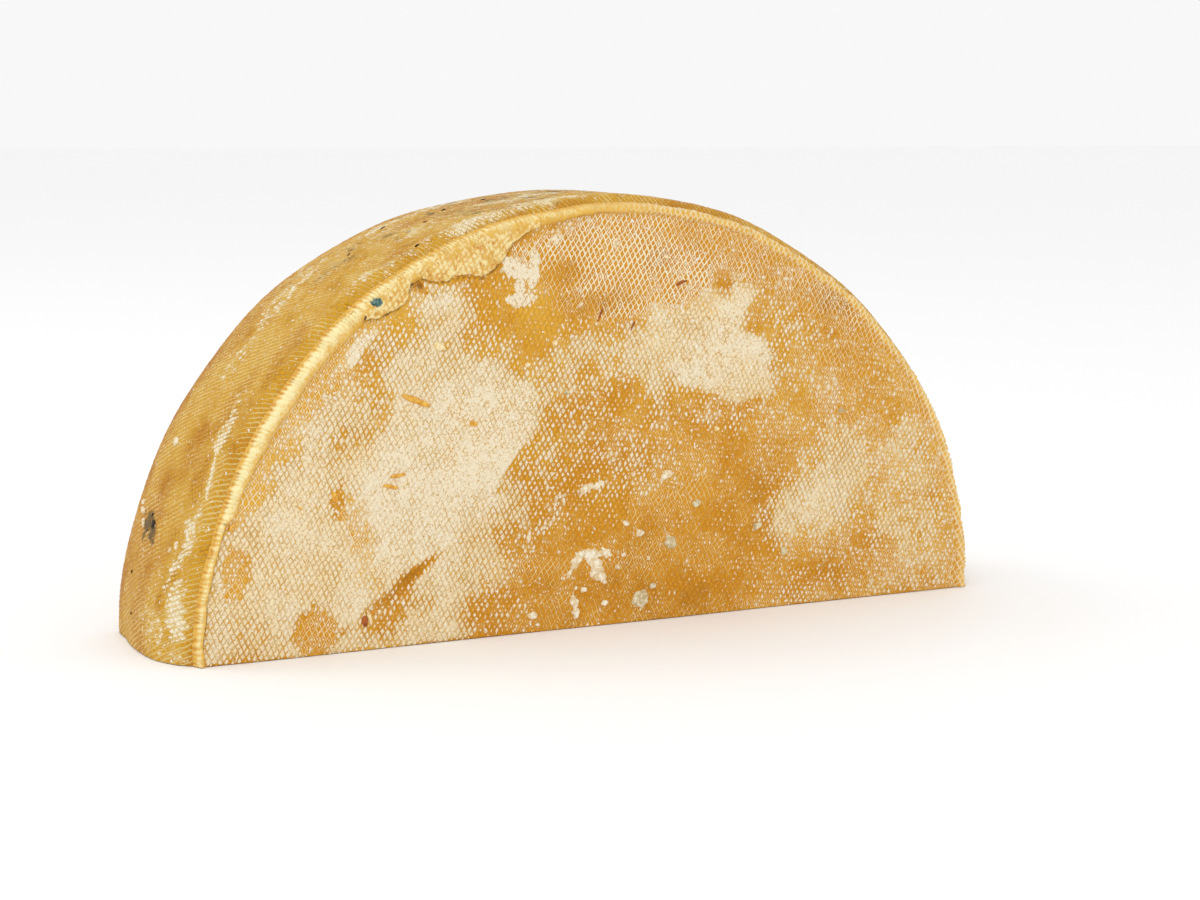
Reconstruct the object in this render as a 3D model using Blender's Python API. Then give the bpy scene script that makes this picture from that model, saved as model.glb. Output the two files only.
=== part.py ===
"""Half wheel of washed-rind raclette cheese, standing on its cut face.

One solid. The wheel's axis runs along Y, the cut lies in the plane Z = 0, and
the round face that shows looks towards -Y. Lengths are in metres, +Z is up and
the origin is the middle of the cut face's box.
"""

import math

import bmesh
import bpy
import numpy as np

# Wheel: a cross-section turned through half a turn
RADIUS = 0.150            # axis to the crest of the front edge bead
THICKNESS = 0.0695        # from one round face to the other
HEEL_SWELL = 0.0037       # the heel stands this far outside the bead's crest
HEEL_ROUND = 0.0051       # how far the heel falls in towards the back edge
BACK_CORNER = 0.0030      # corner radius between heel and back face
DROOP = 0.0044            # extra swelling of the heel just above the table
DROOP_ANGLE = 11.0        # degrees above the table where it has mostly gone
DROOP_PLACES = (0.08, 0.30, 0.80)   # its start, peak and end across the heel

# The half has settled on its cut: wider below, lower at the top
SAG_SPREAD = 0.0324
SAG_LEAN = -0.0022
SAG_SKEW = -0.0044
LUMP_HEIGHT = 0.0004      # slow unevenness of the rind

# Bead: the pressed seam that runs along the front edge
BEAD_WIDTH = 0.0050       # radial width on the face
BEAD_PROUD = 0.0014       # height in front of the face
GROOVE_DEPTH = 0.0006     # crease on the heel side, behind the bead
GROOVE_PLACE = 0.0026     # its distance behind the face
HEEL_RISE = 0.0065        # run over which the heel swells up behind the crease

# Torn flap: two lobes of rind that were pressed over the face beside the bead
FLAP_THICKNESS = 0.0011
FLAP_EDGE = 0.0005        # radial run of its steep torn edge
FLAP_RAGGED = 0.0006      # size of the tears along that edge
# Each lobe: first angle, angle of its widest place, last angle, width
FLAP_LOBES = (
    (47.5, 54.5, 57.6, 0.0042),
    (57.9, 66.9, 78.0, 0.0094),
)

# Eyes: small holes in the paste, in a loose row beside the rind of the cut
EYE_COUNT = 9
EYE_RADIUS = (0.0010, 0.0022)
EYE_ROW_X = (0.062, 0.122)
EYE_ROW_Y = 0.013
EYE_SPREAD = 0.006
EYE_SEED = 11

# Mesh: turning steps of about 2 degrees, finer along the torn flap
SPANS = ((0.0, 47.0, 24), (47.0, 79.0, 44), (79.0, 180.0, 50))
FACE_RINGS = (0.14, 0.30, 0.46, 0.61, 0.74, 0.84)
BEAD_STEPS = 6
HEEL_PLACES = (0.060, 0.085, 0.115, 0.16, 0.22, 0.30, 0.42, 0.55, 0.67, 0.78, 0.87)
CORNER_STEPS = 4
FLAP_ZONE = 0.020         # rings inside this band beside the crest follow the flap's edge
ZONE_RING = 0.0130        # nominal distances of the band's rings from the crest
LIP_RING = 0.0080
FLAP_RING = 0.0065
BACK_MARGIN = 0.012       # plain ring between the back face's rings and its corner
BACK_PLACE = 0.955        # where the back corner leaves the heel
MERGE = 0.00001

RIND_COLOUR = (0.62, 0.37, 0.13)
PASTE_COLOUR = (0.83, 0.66, 0.29)


def clear_scene():
    """Remove the objects, meshes and materials that the file opened with."""
    for thing in list(bpy.data.objects):
        bpy.data.objects.remove(thing, do_unlink=True)
    for blocks in (bpy.data.meshes, bpy.data.materials):
        for block in list(blocks):
            blocks.remove(block)


def food_material(name, colour, roughness):
    """Return a Principled material of one colour."""
    material = bpy.data.materials.new(name)
    material.use_nodes = True
    shader = material.node_tree.nodes["Principled BSDF"]
    shader.inputs["Base Color"].default_value = (*colour, 1.0)
    shader.inputs["Roughness"].default_value = roughness
    shader.inputs["Metallic"].default_value = 0.0
    material.diffuse_color = (*colour, 1.0)
    return material


def heel_offset(place):
    """Return the heel's height over the bead crest at a share of the thickness."""
    rise = min(max((place * THICKNESS - GROOVE_PLACE) / HEEL_RISE, 0.0), 1.0)
    swell = (HEEL_SWELL + GROOVE_DEPTH) * math.sin(rise * math.pi / 2) - GROOVE_DEPTH
    fall = max((place - 0.45) / 0.55, 0.0) ** 3
    return swell - HEEL_ROUND * (1.0 - math.sqrt(1.0 - fall))


def cross_section():
    """Return the (radius, depth) points from the front centre to the back centre.

    The front face is at depth 0 and the back face at THICKNESS.
    """
    inner = RADIUS - FLAP_ZONE
    points = [(share * inner / max(FACE_RINGS), 0.0) for share in (0.0, *FACE_RINGS)]
    band = (ZONE_RING, LIP_RING + FLAP_EDGE, LIP_RING, FLAP_RING, BEAD_WIDTH)
    points += [(RADIUS - distance, 0.0) for distance in band]
    # The bead is a half ellipse from its foot on the face to its outer crest
    for step in range(1, BEAD_STEPS + 1):
        turn = math.pi * step / BEAD_STEPS
        reach = 0.5 * BEAD_WIDTH * (1.0 + math.cos(turn))
        points.append((RADIUS - reach, -BEAD_PROUD * math.sin(turn)))
    points.append((RADIUS - GROOVE_DEPTH, GROOVE_PLACE))
    points += [(RADIUS + heel_offset(place), place * THICKNESS) for place in HEEL_PLACES]
    # The back corner is a quarter round between the falling heel and the back face
    corner_radius = RADIUS + heel_offset(BACK_PLACE) - BACK_CORNER
    corner_depth = THICKNESS - BACK_CORNER
    for step in range(CORNER_STEPS + 1):
        turn = 0.5 * math.pi * step / CORNER_STEPS
        points.append((
            corner_radius + BACK_CORNER * math.cos(turn),
            corner_depth + BACK_CORNER * math.sin(turn),
        ))
    back = [share * (corner_radius - BACK_MARGIN) / max(FACE_RINGS) for share in (0.0, *FACE_RINGS)]
    points += [(radius, THICKNESS) for radius in reversed(back)]
    return points


def turned_solid():
    """Turn the cross-section through half a turn and close it with the cut face."""
    bm = bmesh.new()
    chain = [bm.verts.new((-radius, depth, 0.0)) for radius, depth in cross_section()]
    edges = [bm.edges.new(pair) for pair in zip(chain, chain[1:])]
    last = [*chain, *edges]
    for first_angle, last_angle, steps in SPANS:
        spun = bmesh.ops.spin(
            bm,
            geom=last,
            cent=(0.0, 0.0, 0.0),
            axis=(0.0, 1.0, 0.0),
            angle=math.radians(last_angle - first_angle),
            steps=steps,
        )
        last = spun["geom_last"]
    bmesh.ops.remove_doubles(bm, verts=bm.verts, dist=MERGE)
    rim = [edge for edge in bm.edges if edge.is_boundary]
    bmesh.ops.contextual_create(bm, geom=rim)
    return bm


def lobe_width(angle):
    """Return how far the flap reaches over the face, inwards from the bead.

    Each lobe rises as a quarter sine to its widest place and falls the same way,
    with small tears along it.
    """
    width = 0.0
    for first, widest, end, reach in FLAP_LOBES:
        if first < angle < end:
            limit = first if angle < widest else end
            share = (angle - limit) / (widest - limit)
            tear = FLAP_RAGGED * (math.sin(angle * 2.9) + math.sin(angle * 4.7 + 1.0))
            width = max(reach * math.sin(0.5 * math.pi * share) ** 0.7 + tear, 0.0)
    return width


def sag(turn):
    """Return the factor by which the settled half departs from a true circle."""
    skew = SAG_SKEW * math.cos(3.0 * turn)
    return 1.0 + SAG_SPREAD * math.cos(2.0 * turn) + SAG_LEAN * math.sin(2.0 * turn) + skew


def droop(turn, place):
    """Return the heel's extra swelling near the table, a sine hump across the heel."""
    start, peak, end = DROOP_PLACES
    if not start < place < end:
        return 0.0
    if place < peak:
        share = 0.5 * (place - start) / (peak - start)
    else:
        share = 1.0 - 0.5 * (end - place) / (end - peak)
    height = math.degrees(min(turn, math.pi - turn)) / DROOP_ANGLE
    return DROOP * math.sin(math.pi * share) * math.exp(-height * height)


def shape_rind(bm):
    """Move the turned points: torn flap, droop, settled outline and slow lumps."""
    flap_nominal = [
        RADIUS - FLAP_ZONE,
        RADIUS - LIP_RING - FLAP_EDGE,
        RADIUS - LIP_RING,
        RADIUS - BEAD_WIDTH,
    ]
    for vert in bm.verts:
        radius = math.hypot(vert.co.x, vert.co.z)
        turn = abs(math.atan2(vert.co.z, -vert.co.x))
        depth = vert.co.y
        if depth < MERGE and flap_nominal[0] < radius < flap_nominal[-1] - MERGE:
            width = lobe_width(math.degrees(turn))
            lip = RADIUS - BEAD_WIDTH - max(width, FLAP_EDGE)
            lifted = radius > flap_nominal[2] - MERGE
            torn = (flap_nominal[0], lip - FLAP_EDGE, lip, flap_nominal[-1])
            radius = np.interp(radius, flap_nominal, torn)
            if lifted:
                depth -= FLAP_THICKNESS * min(width / (2.0 * FLAP_THICKNESS), 1.0)
        outward = min(radius / RADIUS, 1.0)
        if radius > RADIUS - BACK_CORNER:
            radius += droop(turn, depth / THICKNESS)
        lump = math.sin(7.0 * turn + 1.3) + 0.6 * math.sin(17.0 * turn)
        radius += LUMP_HEIGHT * outward ** 3 * lump
        side = -1.0 if depth < 0.5 * THICKNESS else 1.0
        wave = math.sin(41.0 * vert.co.x + 0.7) * math.cos(37.0 * vert.co.z - 0.4)
        depth += side * LUMP_HEIGHT * (1.0 - outward ** 4) * wave
        radius *= sag(turn)
        vert.co = (-radius * math.cos(turn), depth, radius * math.sin(turn))
    for vert in bm.verts:
        if abs(vert.co.z) < MERGE:
            vert.co.z = 0.0


def centre_on_origin(bm):
    """Put the origin at the bottom centre of the solid's box."""
    low = [min(vert.co[axis] for vert in bm.verts) for axis in range(3)]
    high = [max(vert.co[axis] for vert in bm.verts) for axis in range(3)]
    shift = (-0.5 * (low[0] + high[0]), -0.5 * (low[1] + high[1]), -low[2])
    bmesh.ops.translate(bm, verts=bm.verts, vec=shift)


def colour_cut_face(mesh):
    """Give the faces of the cut the paste material, the second slot."""
    for polygon in mesh.polygons:
        polygon.material_index = int(polygon.center.z < MERGE)


def add_half_wheel(rind, paste):
    """Add the half wheel without its eyes."""
    bm = turned_solid()
    shape_rind(bm)
    centre_on_origin(bm)
    bmesh.ops.recalc_face_normals(bm, faces=bm.faces)
    mesh = bpy.data.meshes.new("half_wheel")
    bm.to_mesh(mesh)
    bm.free()
    mesh.materials.append(rind)
    mesh.materials.append(paste)
    colour_cut_face(mesh)
    wheel = bpy.data.objects.new("half_wheel", mesh)
    bpy.context.collection.objects.link(wheel)
    return wheel


def add_eye_cutter(paste):
    """Add the wire shape that hollows the eyes, ball by ball, out of the cut face."""
    draw = np.random.default_rng(EYE_SEED)
    bm = bmesh.new()
    for place in np.linspace(*EYE_ROW_X, EYE_COUNT):
        ball = bmesh.ops.create_icosphere(bm, subdivisions=2, radius=draw.uniform(*EYE_RADIUS))
        stretch = (draw.uniform(0.8, 1.4), draw.uniform(0.8, 1.2), 1.0)
        bmesh.ops.scale(bm, verts=ball["verts"], vec=stretch)
        side = EYE_ROW_Y + draw.uniform(-EYE_SPREAD, EYE_SPREAD)
        bmesh.ops.translate(bm, verts=ball["verts"], vec=(place, side, 0.0))
    mesh = bpy.data.meshes.new("eye_cutter")
    bm.to_mesh(mesh)
    bm.free()
    mesh.materials.append(paste)
    cutter = bpy.data.objects.new("eye_cutter", mesh)
    cutter.display_type = "WIRE"
    cutter.hide_render = True
    bpy.context.collection.objects.link(cutter)
    return cutter


def hollow_eyes(wheel, cutter):
    """Take the eyes out of the cut face with a Boolean modifier."""
    boolean = wheel.modifiers.new("eyes", "BOOLEAN")
    boolean.operation = "DIFFERENCE"
    boolean.solver = "EXACT"
    boolean.object = cutter


def shade(wheel):
    """Shade the rind smooth and keep its corners and the cut's edge crisp."""
    wheel.data.shade_smooth()
    wheel.data.set_sharp_from_angle(angle=math.radians(40.0))


def main():
    """Build the half wheel."""
    clear_scene()
    rind = food_material("rind", RIND_COLOUR, 0.7)
    paste = food_material("paste", PASTE_COLOUR, 0.45)
    wheel = add_half_wheel(rind, paste)
    shade(wheel)
    hollow_eyes(wheel, add_eye_cutter(paste))


main()
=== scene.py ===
"""Looks of a raclette half wheel: its cloth-pressed rind, edge bead, torn flap and cut paste.

Lengths are in metres. The wheel's axis runs along Y, the cut lies at Z = 0 and the
round face that shows looks towards -Y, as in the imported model.
"""

import logging
import math
from dataclasses import dataclass, field
from enum import Enum
from typing import Callable, Mapping, Sequence

import bpy
import numpy as np
from mathutils import Matrix, Vector

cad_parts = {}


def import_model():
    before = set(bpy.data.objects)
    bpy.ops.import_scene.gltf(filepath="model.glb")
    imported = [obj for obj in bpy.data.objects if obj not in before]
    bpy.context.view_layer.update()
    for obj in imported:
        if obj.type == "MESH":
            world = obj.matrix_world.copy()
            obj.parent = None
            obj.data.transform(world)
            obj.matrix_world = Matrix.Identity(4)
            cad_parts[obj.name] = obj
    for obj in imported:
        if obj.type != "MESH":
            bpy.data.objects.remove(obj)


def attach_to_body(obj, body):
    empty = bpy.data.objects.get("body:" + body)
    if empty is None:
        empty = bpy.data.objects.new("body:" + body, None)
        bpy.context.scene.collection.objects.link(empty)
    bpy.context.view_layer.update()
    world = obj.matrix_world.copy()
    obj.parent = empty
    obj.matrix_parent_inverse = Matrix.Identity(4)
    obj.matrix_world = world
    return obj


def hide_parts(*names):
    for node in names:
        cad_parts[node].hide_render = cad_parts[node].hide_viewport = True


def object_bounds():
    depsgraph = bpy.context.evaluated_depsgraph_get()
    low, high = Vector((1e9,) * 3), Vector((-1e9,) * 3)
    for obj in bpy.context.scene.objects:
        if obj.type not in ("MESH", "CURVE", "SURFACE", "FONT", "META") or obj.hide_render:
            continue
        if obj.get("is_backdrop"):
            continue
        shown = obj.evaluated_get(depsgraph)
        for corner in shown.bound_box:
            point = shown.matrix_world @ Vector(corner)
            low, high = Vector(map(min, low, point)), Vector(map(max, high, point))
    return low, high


LOG = logging.getLogger("half_wheel")
NODE = "half_wheel"
BODY = "root"
MM = 0.001
FULL_TURN = 2.0 * math.pi
# A patch's level that stays as it was
KEEP = None
Rgb = tuple[float, float, float]
Levels = dict[str, np.ndarray]


class Slot(Enum):
    """The record's material slots."""

    RIND = "rind"
    PASTE = "paste"


def tint(red: int, green: int, blue: int) -> Rgb:
    """Turn a display colour of 0 to 255 into linear light, by the sRGB curve.

    Args:
        red: Red of the display colour.
        green: Green of the display colour.
        blue: Blue of the display colour.

    Returns:
        The linear colour.
    """
    shares = np.array((red, green, blue)) / 255.0
    linear = np.where(shares <= 0.04045, shares / 12.92, ((shares + 0.055) / 1.055) ** 2.4)
    return tuple(float(value) for value in linear)


# Numpy helpers


def smooth(values: np.ndarray, low: float, high: float) -> np.ndarray:
    """Ease from 0 at low to 1 at high by the cubic 3t squared minus 2t cubed.

    Args:
        values: Numbers to ease.
        low: Where the result is 0.
        high: Where the result is 1.

    Returns:
        Shares from 0 to 1.
    """
    share = np.clip((values - low) / (high - low), 0.0, 1.0)
    return share * share * (3.0 - 2.0 * share)


def fall(values: np.ndarray, low: float, high: float) -> np.ndarray:
    """Ease from 1 at low to 0 at high."""
    return 1.0 - smooth(values, low, high)


def bell(values: np.ndarray, middle: float, half: float) -> np.ndarray:
    """Return a Gaussian bell: 1 in the middle, 0.37 at its half width."""
    return np.exp(-(((values - middle) / half) ** 2))


def cloudy(u: np.ndarray, v: np.ndarray, size: float, seed: int, octaves: int = 3) -> np.ndarray:
    """Sum value noise over octaves: random numbers on a square net, eased between its points.

    Args:
        u: First coordinates in metres.
        v: Second coordinates in metres.
        size: Size of the largest blotches in metres.
        seed: Seed of the random net.
        octaves: Number of halvings of the blotch size.

    Returns:
        Values from about -1 to 1.
    """
    count = 256
    table = np.random.default_rng(seed).uniform(-1.0, 1.0, (count, count))
    total = np.zeros(np.broadcast(u, v).shape)
    weight, reach = 0.0, 1.0
    for octave in range(octaves):
        # Each octave starts elsewhere in the net, and each is weaker than the last
        a = u / size * 2 ** octave + 17.3 * octave + 64.0
        b = v / size * 2 ** octave + 9.1 * octave + 64.0
        i, j = np.floor(a).astype(int), np.floor(b).astype(int)
        s, t = smooth(a - i, 0.0, 1.0), smooth(b - j, 0.0, 1.0)
        i, j, right, up = i % count, j % count, (i + 1) % count, (j + 1) % count
        low = table[i, j] * (1 - s) + table[right, j] * s
        high = table[i, up] * (1 - s) + table[right, up] * s
        total = total + reach * (low * (1 - t) + high * t)
        weight += reach
        reach *= 0.55
    return total / weight * 1.6


@dataclass(frozen=True)
class Course:
    """A value that runs straight between stops along the rim, at rising angles in degrees."""

    stops: tuple[float, ...]
    values: tuple[float, ...]

    def at(self, angle: np.ndarray) -> np.ndarray:
        """Return the value at angles in degrees."""
        return np.interp(angle, self.stops, self.values)


@dataclass(frozen=True)
class Patch:
    """A blotch on the rind that pulls its levels towards its own, where they aren't KEEP.

    Its place and half sizes are in millimetres on the flattened surface, its turn in degrees.
    """

    x: float
    y: float
    long: float
    wide: float
    turn: float
    soft: float
    bloom: float | None = KEEP
    net: float | None = KEEP
    tone: float | None = KEEP
    ragged: float = 0.35
    grime_and_shade: float | None = KEEP
    strength: float = 1.0

    def cover(self, u: np.ndarray, v: np.ndarray, cloud: np.ndarray) -> np.ndarray:
        """Weigh the patch: an ellipse whose edge is eased and frayed by a cloud.

        Args:
            u: First coordinates in metres.
            v: Second coordinates in metres.
            cloud: Noise that frays the edge.

        Returns:
            Shares from 0 outside to the patch's strength inside.
        """
        turn = math.radians(self.turn)
        du, dv = u / MM - self.x, v / MM - self.y
        along = (du * math.cos(turn) + dv * math.sin(turn)) / self.long
        across = (dv * math.cos(turn) - du * math.sin(turn)) / self.wide
        reach = np.hypot(along, across) + self.ragged * cloud
        return self.strength * fall(reach, 1.0 - self.soft, 1.0 + self.soft)


@dataclass(frozen=True)
class Cloud:
    """Noise over one level of a coat: its size is in millimetres, and stretch draws it out."""

    level: str
    strength: float
    size: float
    seed: int
    octaves: int = 4
    stretch: float = 1.0


@dataclass(frozen=True)
class Coat:
    """What a sheet of rind is painted with: even levels, then patches, then clouds."""

    bloom: float
    net: float
    tone: float
    patches: Sequence[Patch]
    seed: int
    clouds: tuple[Cloud, ...]

    def paint(self, u: np.ndarray, v: np.ndarray) -> Levels:
        """Work out the cream bloom, the cream net lines, the tone, and the grime with painted
        shade.

        Args:
            u: First coordinates in metres.
            v: Second coordinates in metres.

        Returns:
            The levels of the points, by name.
        """
        even = {"bloom": self.bloom, "net": self.net, "tone": self.tone, "grime_and_shade": 0.0}
        levels = {name: level + 0.0 * u for name, level in even.items()}
        for index, patch in enumerate(self.patches):
            cloud = cloudy(u, v, 0.35 * MM * (patch.long + patch.wide), self.seed + index, 4)
            cover = patch.cover(u, v, cloud)
            for name, old in levels.items():
                level = getattr(patch, name)
                if level is not KEEP:
                    levels[name] = old + (level - old) * cover
        for cloud in self.clouds:
            noise = cloudy(u / cloud.stretch, v, cloud.size * MM, cloud.seed, cloud.octaves)
            levels[cloud.level] += cloud.strength * noise
        return levels


# Shader helpers


class Wire:
    """A number in a shader: Python's operators on it add Math nodes."""

    def __init__(self, graph: "Graph", socket: bpy.types.NodeSocket) -> None:
        """Wrap a socket of a graph."""
        self.graph = graph
        self.socket = socket

    def math(self, operation: str, *others: "Wire | float") -> "Wire":
        """Add a Math node whose first input is this number.

        Args:
            operation: Blender's name of the operation.
            others: The node's other inputs.

        Returns:
            The node's result.
        """
        return self.graph.maths(operation, self, *others)

    def __add__(self, other: "Wire | float") -> "Wire":
        """Add."""
        return self.math("ADD", other)

    __radd__ = __add__

    def __sub__(self, other: "Wire | float") -> "Wire":
        """Subtract."""
        return self.math("SUBTRACT", other)

    def __rsub__(self, other: float) -> "Wire":
        """Subtract from a number."""
        return self.graph.maths("SUBTRACT", other, self)

    def __mul__(self, other: "Wire | float") -> "Wire":
        """Multiply."""
        return self.math("MULTIPLY", other)

    __rmul__ = __mul__

    def __truediv__(self, other: "Wire | float") -> "Wire":
        """Divide."""
        return self.math("DIVIDE", other)

    def ease(self, low: float, high: float) -> "Wire":
        """Ease from 0 at low to 1 at high, as smooth does.

        Args:
            low: Where the result is 0.
            high: Where the result is 1; below low, the ease runs down.

        Returns:
            A share from 0 to 1.
        """
        sockets = {"Value": self, "From Min": low, "From Max": high, "To Min": 0.0, "To Max": 1.0}
        if low > high:
            sockets.update({"From Min": high, "From Max": low, "To Min": 1.0, "To Max": 0.0})
        node = self.graph.add("ShaderNodeMapRange", {"interpolation_type": "SMOOTHSTEP"}, sockets)
        return Wire(self.graph, node.outputs["Result"])


class Graph:
    """A material's nodes, ending in one Principled shader."""

    def __init__(self, name: str) -> None:
        """Start a material with an empty Principled shader.

        Args:
            name: Name of the material.
        """
        self.material = bpy.data.materials.new(name)
        self.material.use_nodes = True
        self.tree = self.material.node_tree
        self.shader = self.tree.nodes["Principled BSDF"]

    def add(
        self,
        kind: str,
        settings: Mapping[str, object] | None = None,
        sockets: Mapping[str | int, object] | None = None,
    ) -> bpy.types.Node:
        """Add any node.

        Args:
            kind: Blender's name of the node type.
            settings: Properties of the node, which are set first.
            sockets: Values or links of its inputs, by name or number.

        Returns:
            The node.
        """
        node = self.tree.nodes.new(kind)
        for name, value in (settings or {}).items():
            setattr(node, name, value)
        for name, value in (sockets or {}).items():
            self.feed(node.inputs[name], value)
        return node

    def feed(self, socket: bpy.types.NodeSocket, value: object) -> None:
        """Link a wire or socket to an input, or set its value.

        Args:
            socket: The input.
            value: A Wire, a socket, a number or a colour.
        """
        if isinstance(value, Wire):
            value = value.socket
        if isinstance(value, bpy.types.NodeSocket):
            self.tree.links.new(value, socket)
        elif isinstance(value, tuple) and len(socket.default_value) == 4:
            socket.default_value = (*value, 1.0)
        else:
            socket.default_value = value

    def maths(self, operation: str, *values: "Wire | float") -> Wire:
        """Add a Math node.

        Args:
            operation: Blender's name of the operation.
            values: The node's inputs.

        Returns:
            The node's result.
        """
        node = self.add("ShaderNodeMath", {"operation": operation}, dict(enumerate(values)))
        return Wire(self, node.outputs[0])

    def level(self, name: str) -> Wire:
        """Read a number that the mesh carries at its points."""
        node = self.add("ShaderNodeAttribute", {"attribute_name": name})
        return Wire(self, node.outputs["Fac"])

    def grain(self, size: float, detail: float = 3.0, rough: float = 0.6) -> Wire:
        """Add noise on the point's coordinates.

        Args:
            size: Size of the blotches in metres.
            detail: Number of finer layers.
            rough: Strength of the finer layers.

        Returns:
            A number around 0.5.
        """
        place = self.add("ShaderNodeTexCoord").outputs["Object"]
        sockets = {"Vector": place, "Scale": 1.0 / size, "Detail": detail, "Roughness": rough}
        node = self.add("ShaderNodeTexNoise", {}, sockets)
        return Wire(self, node.outputs["Fac"])

    def speckle(self, size: float, detail: float = 3.0, rough: float = 0.6) -> Wire:
        """Add noise as grain does, but around 0."""
        return self.grain(size, detail, rough) - 0.5

    def off_line(self, count: Wire) -> Wire:
        """Return how far a line count is from a whole number: 0 on a line, 1 in mid cell."""
        return 1.0 - 2.0 * (count.math("FRACT") - 0.5).math("ABSOLUTE")

    def blend(self, share: Wire | float, first: object, second: object) -> bpy.types.NodeSocket:
        """Mix two colours.

        Args:
            share: Share of the second colour.
            first: First colour or link.
            second: Second colour or link.

        Returns:
            The mixed colour.
        """
        sockets = {0: share, 6: first, 7: second}
        node = self.add("ShaderNodeMix", {"data_type": "RGBA"}, sockets)
        return node.outputs[2]

    def bump(self, height: Wire, depth: float) -> None:
        """Let a height shade the surface.

        Args:
            height: Relief from 0 to 1.
            depth: Height of 1 in metres.
        """
        sockets = {"Height": height, "Distance": depth, "Strength": 1.0}
        node = self.add("ShaderNodeBump", {}, sockets)
        self.feed(self.shader.inputs["Normal"], node.outputs["Normal"])

    def finish(
        self, colour: object, roughness: object, fixed: Mapping[str, float]
    ) -> bpy.types.Material:
        """Set the shader's colour, roughness and constants.

        Args:
            colour: Base colour or link.
            roughness: Roughness or link.
            fixed: Sockets that are the same all over.

        Returns:
            The material.
        """
        self.feed(self.shader.inputs["Base Color"], colour)
        self.feed(self.shader.inputs["Roughness"], roughness)
        for name, value in fixed.items():
            self.feed(self.shader.inputs[name], value)
        return self.material


# Finishes


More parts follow.
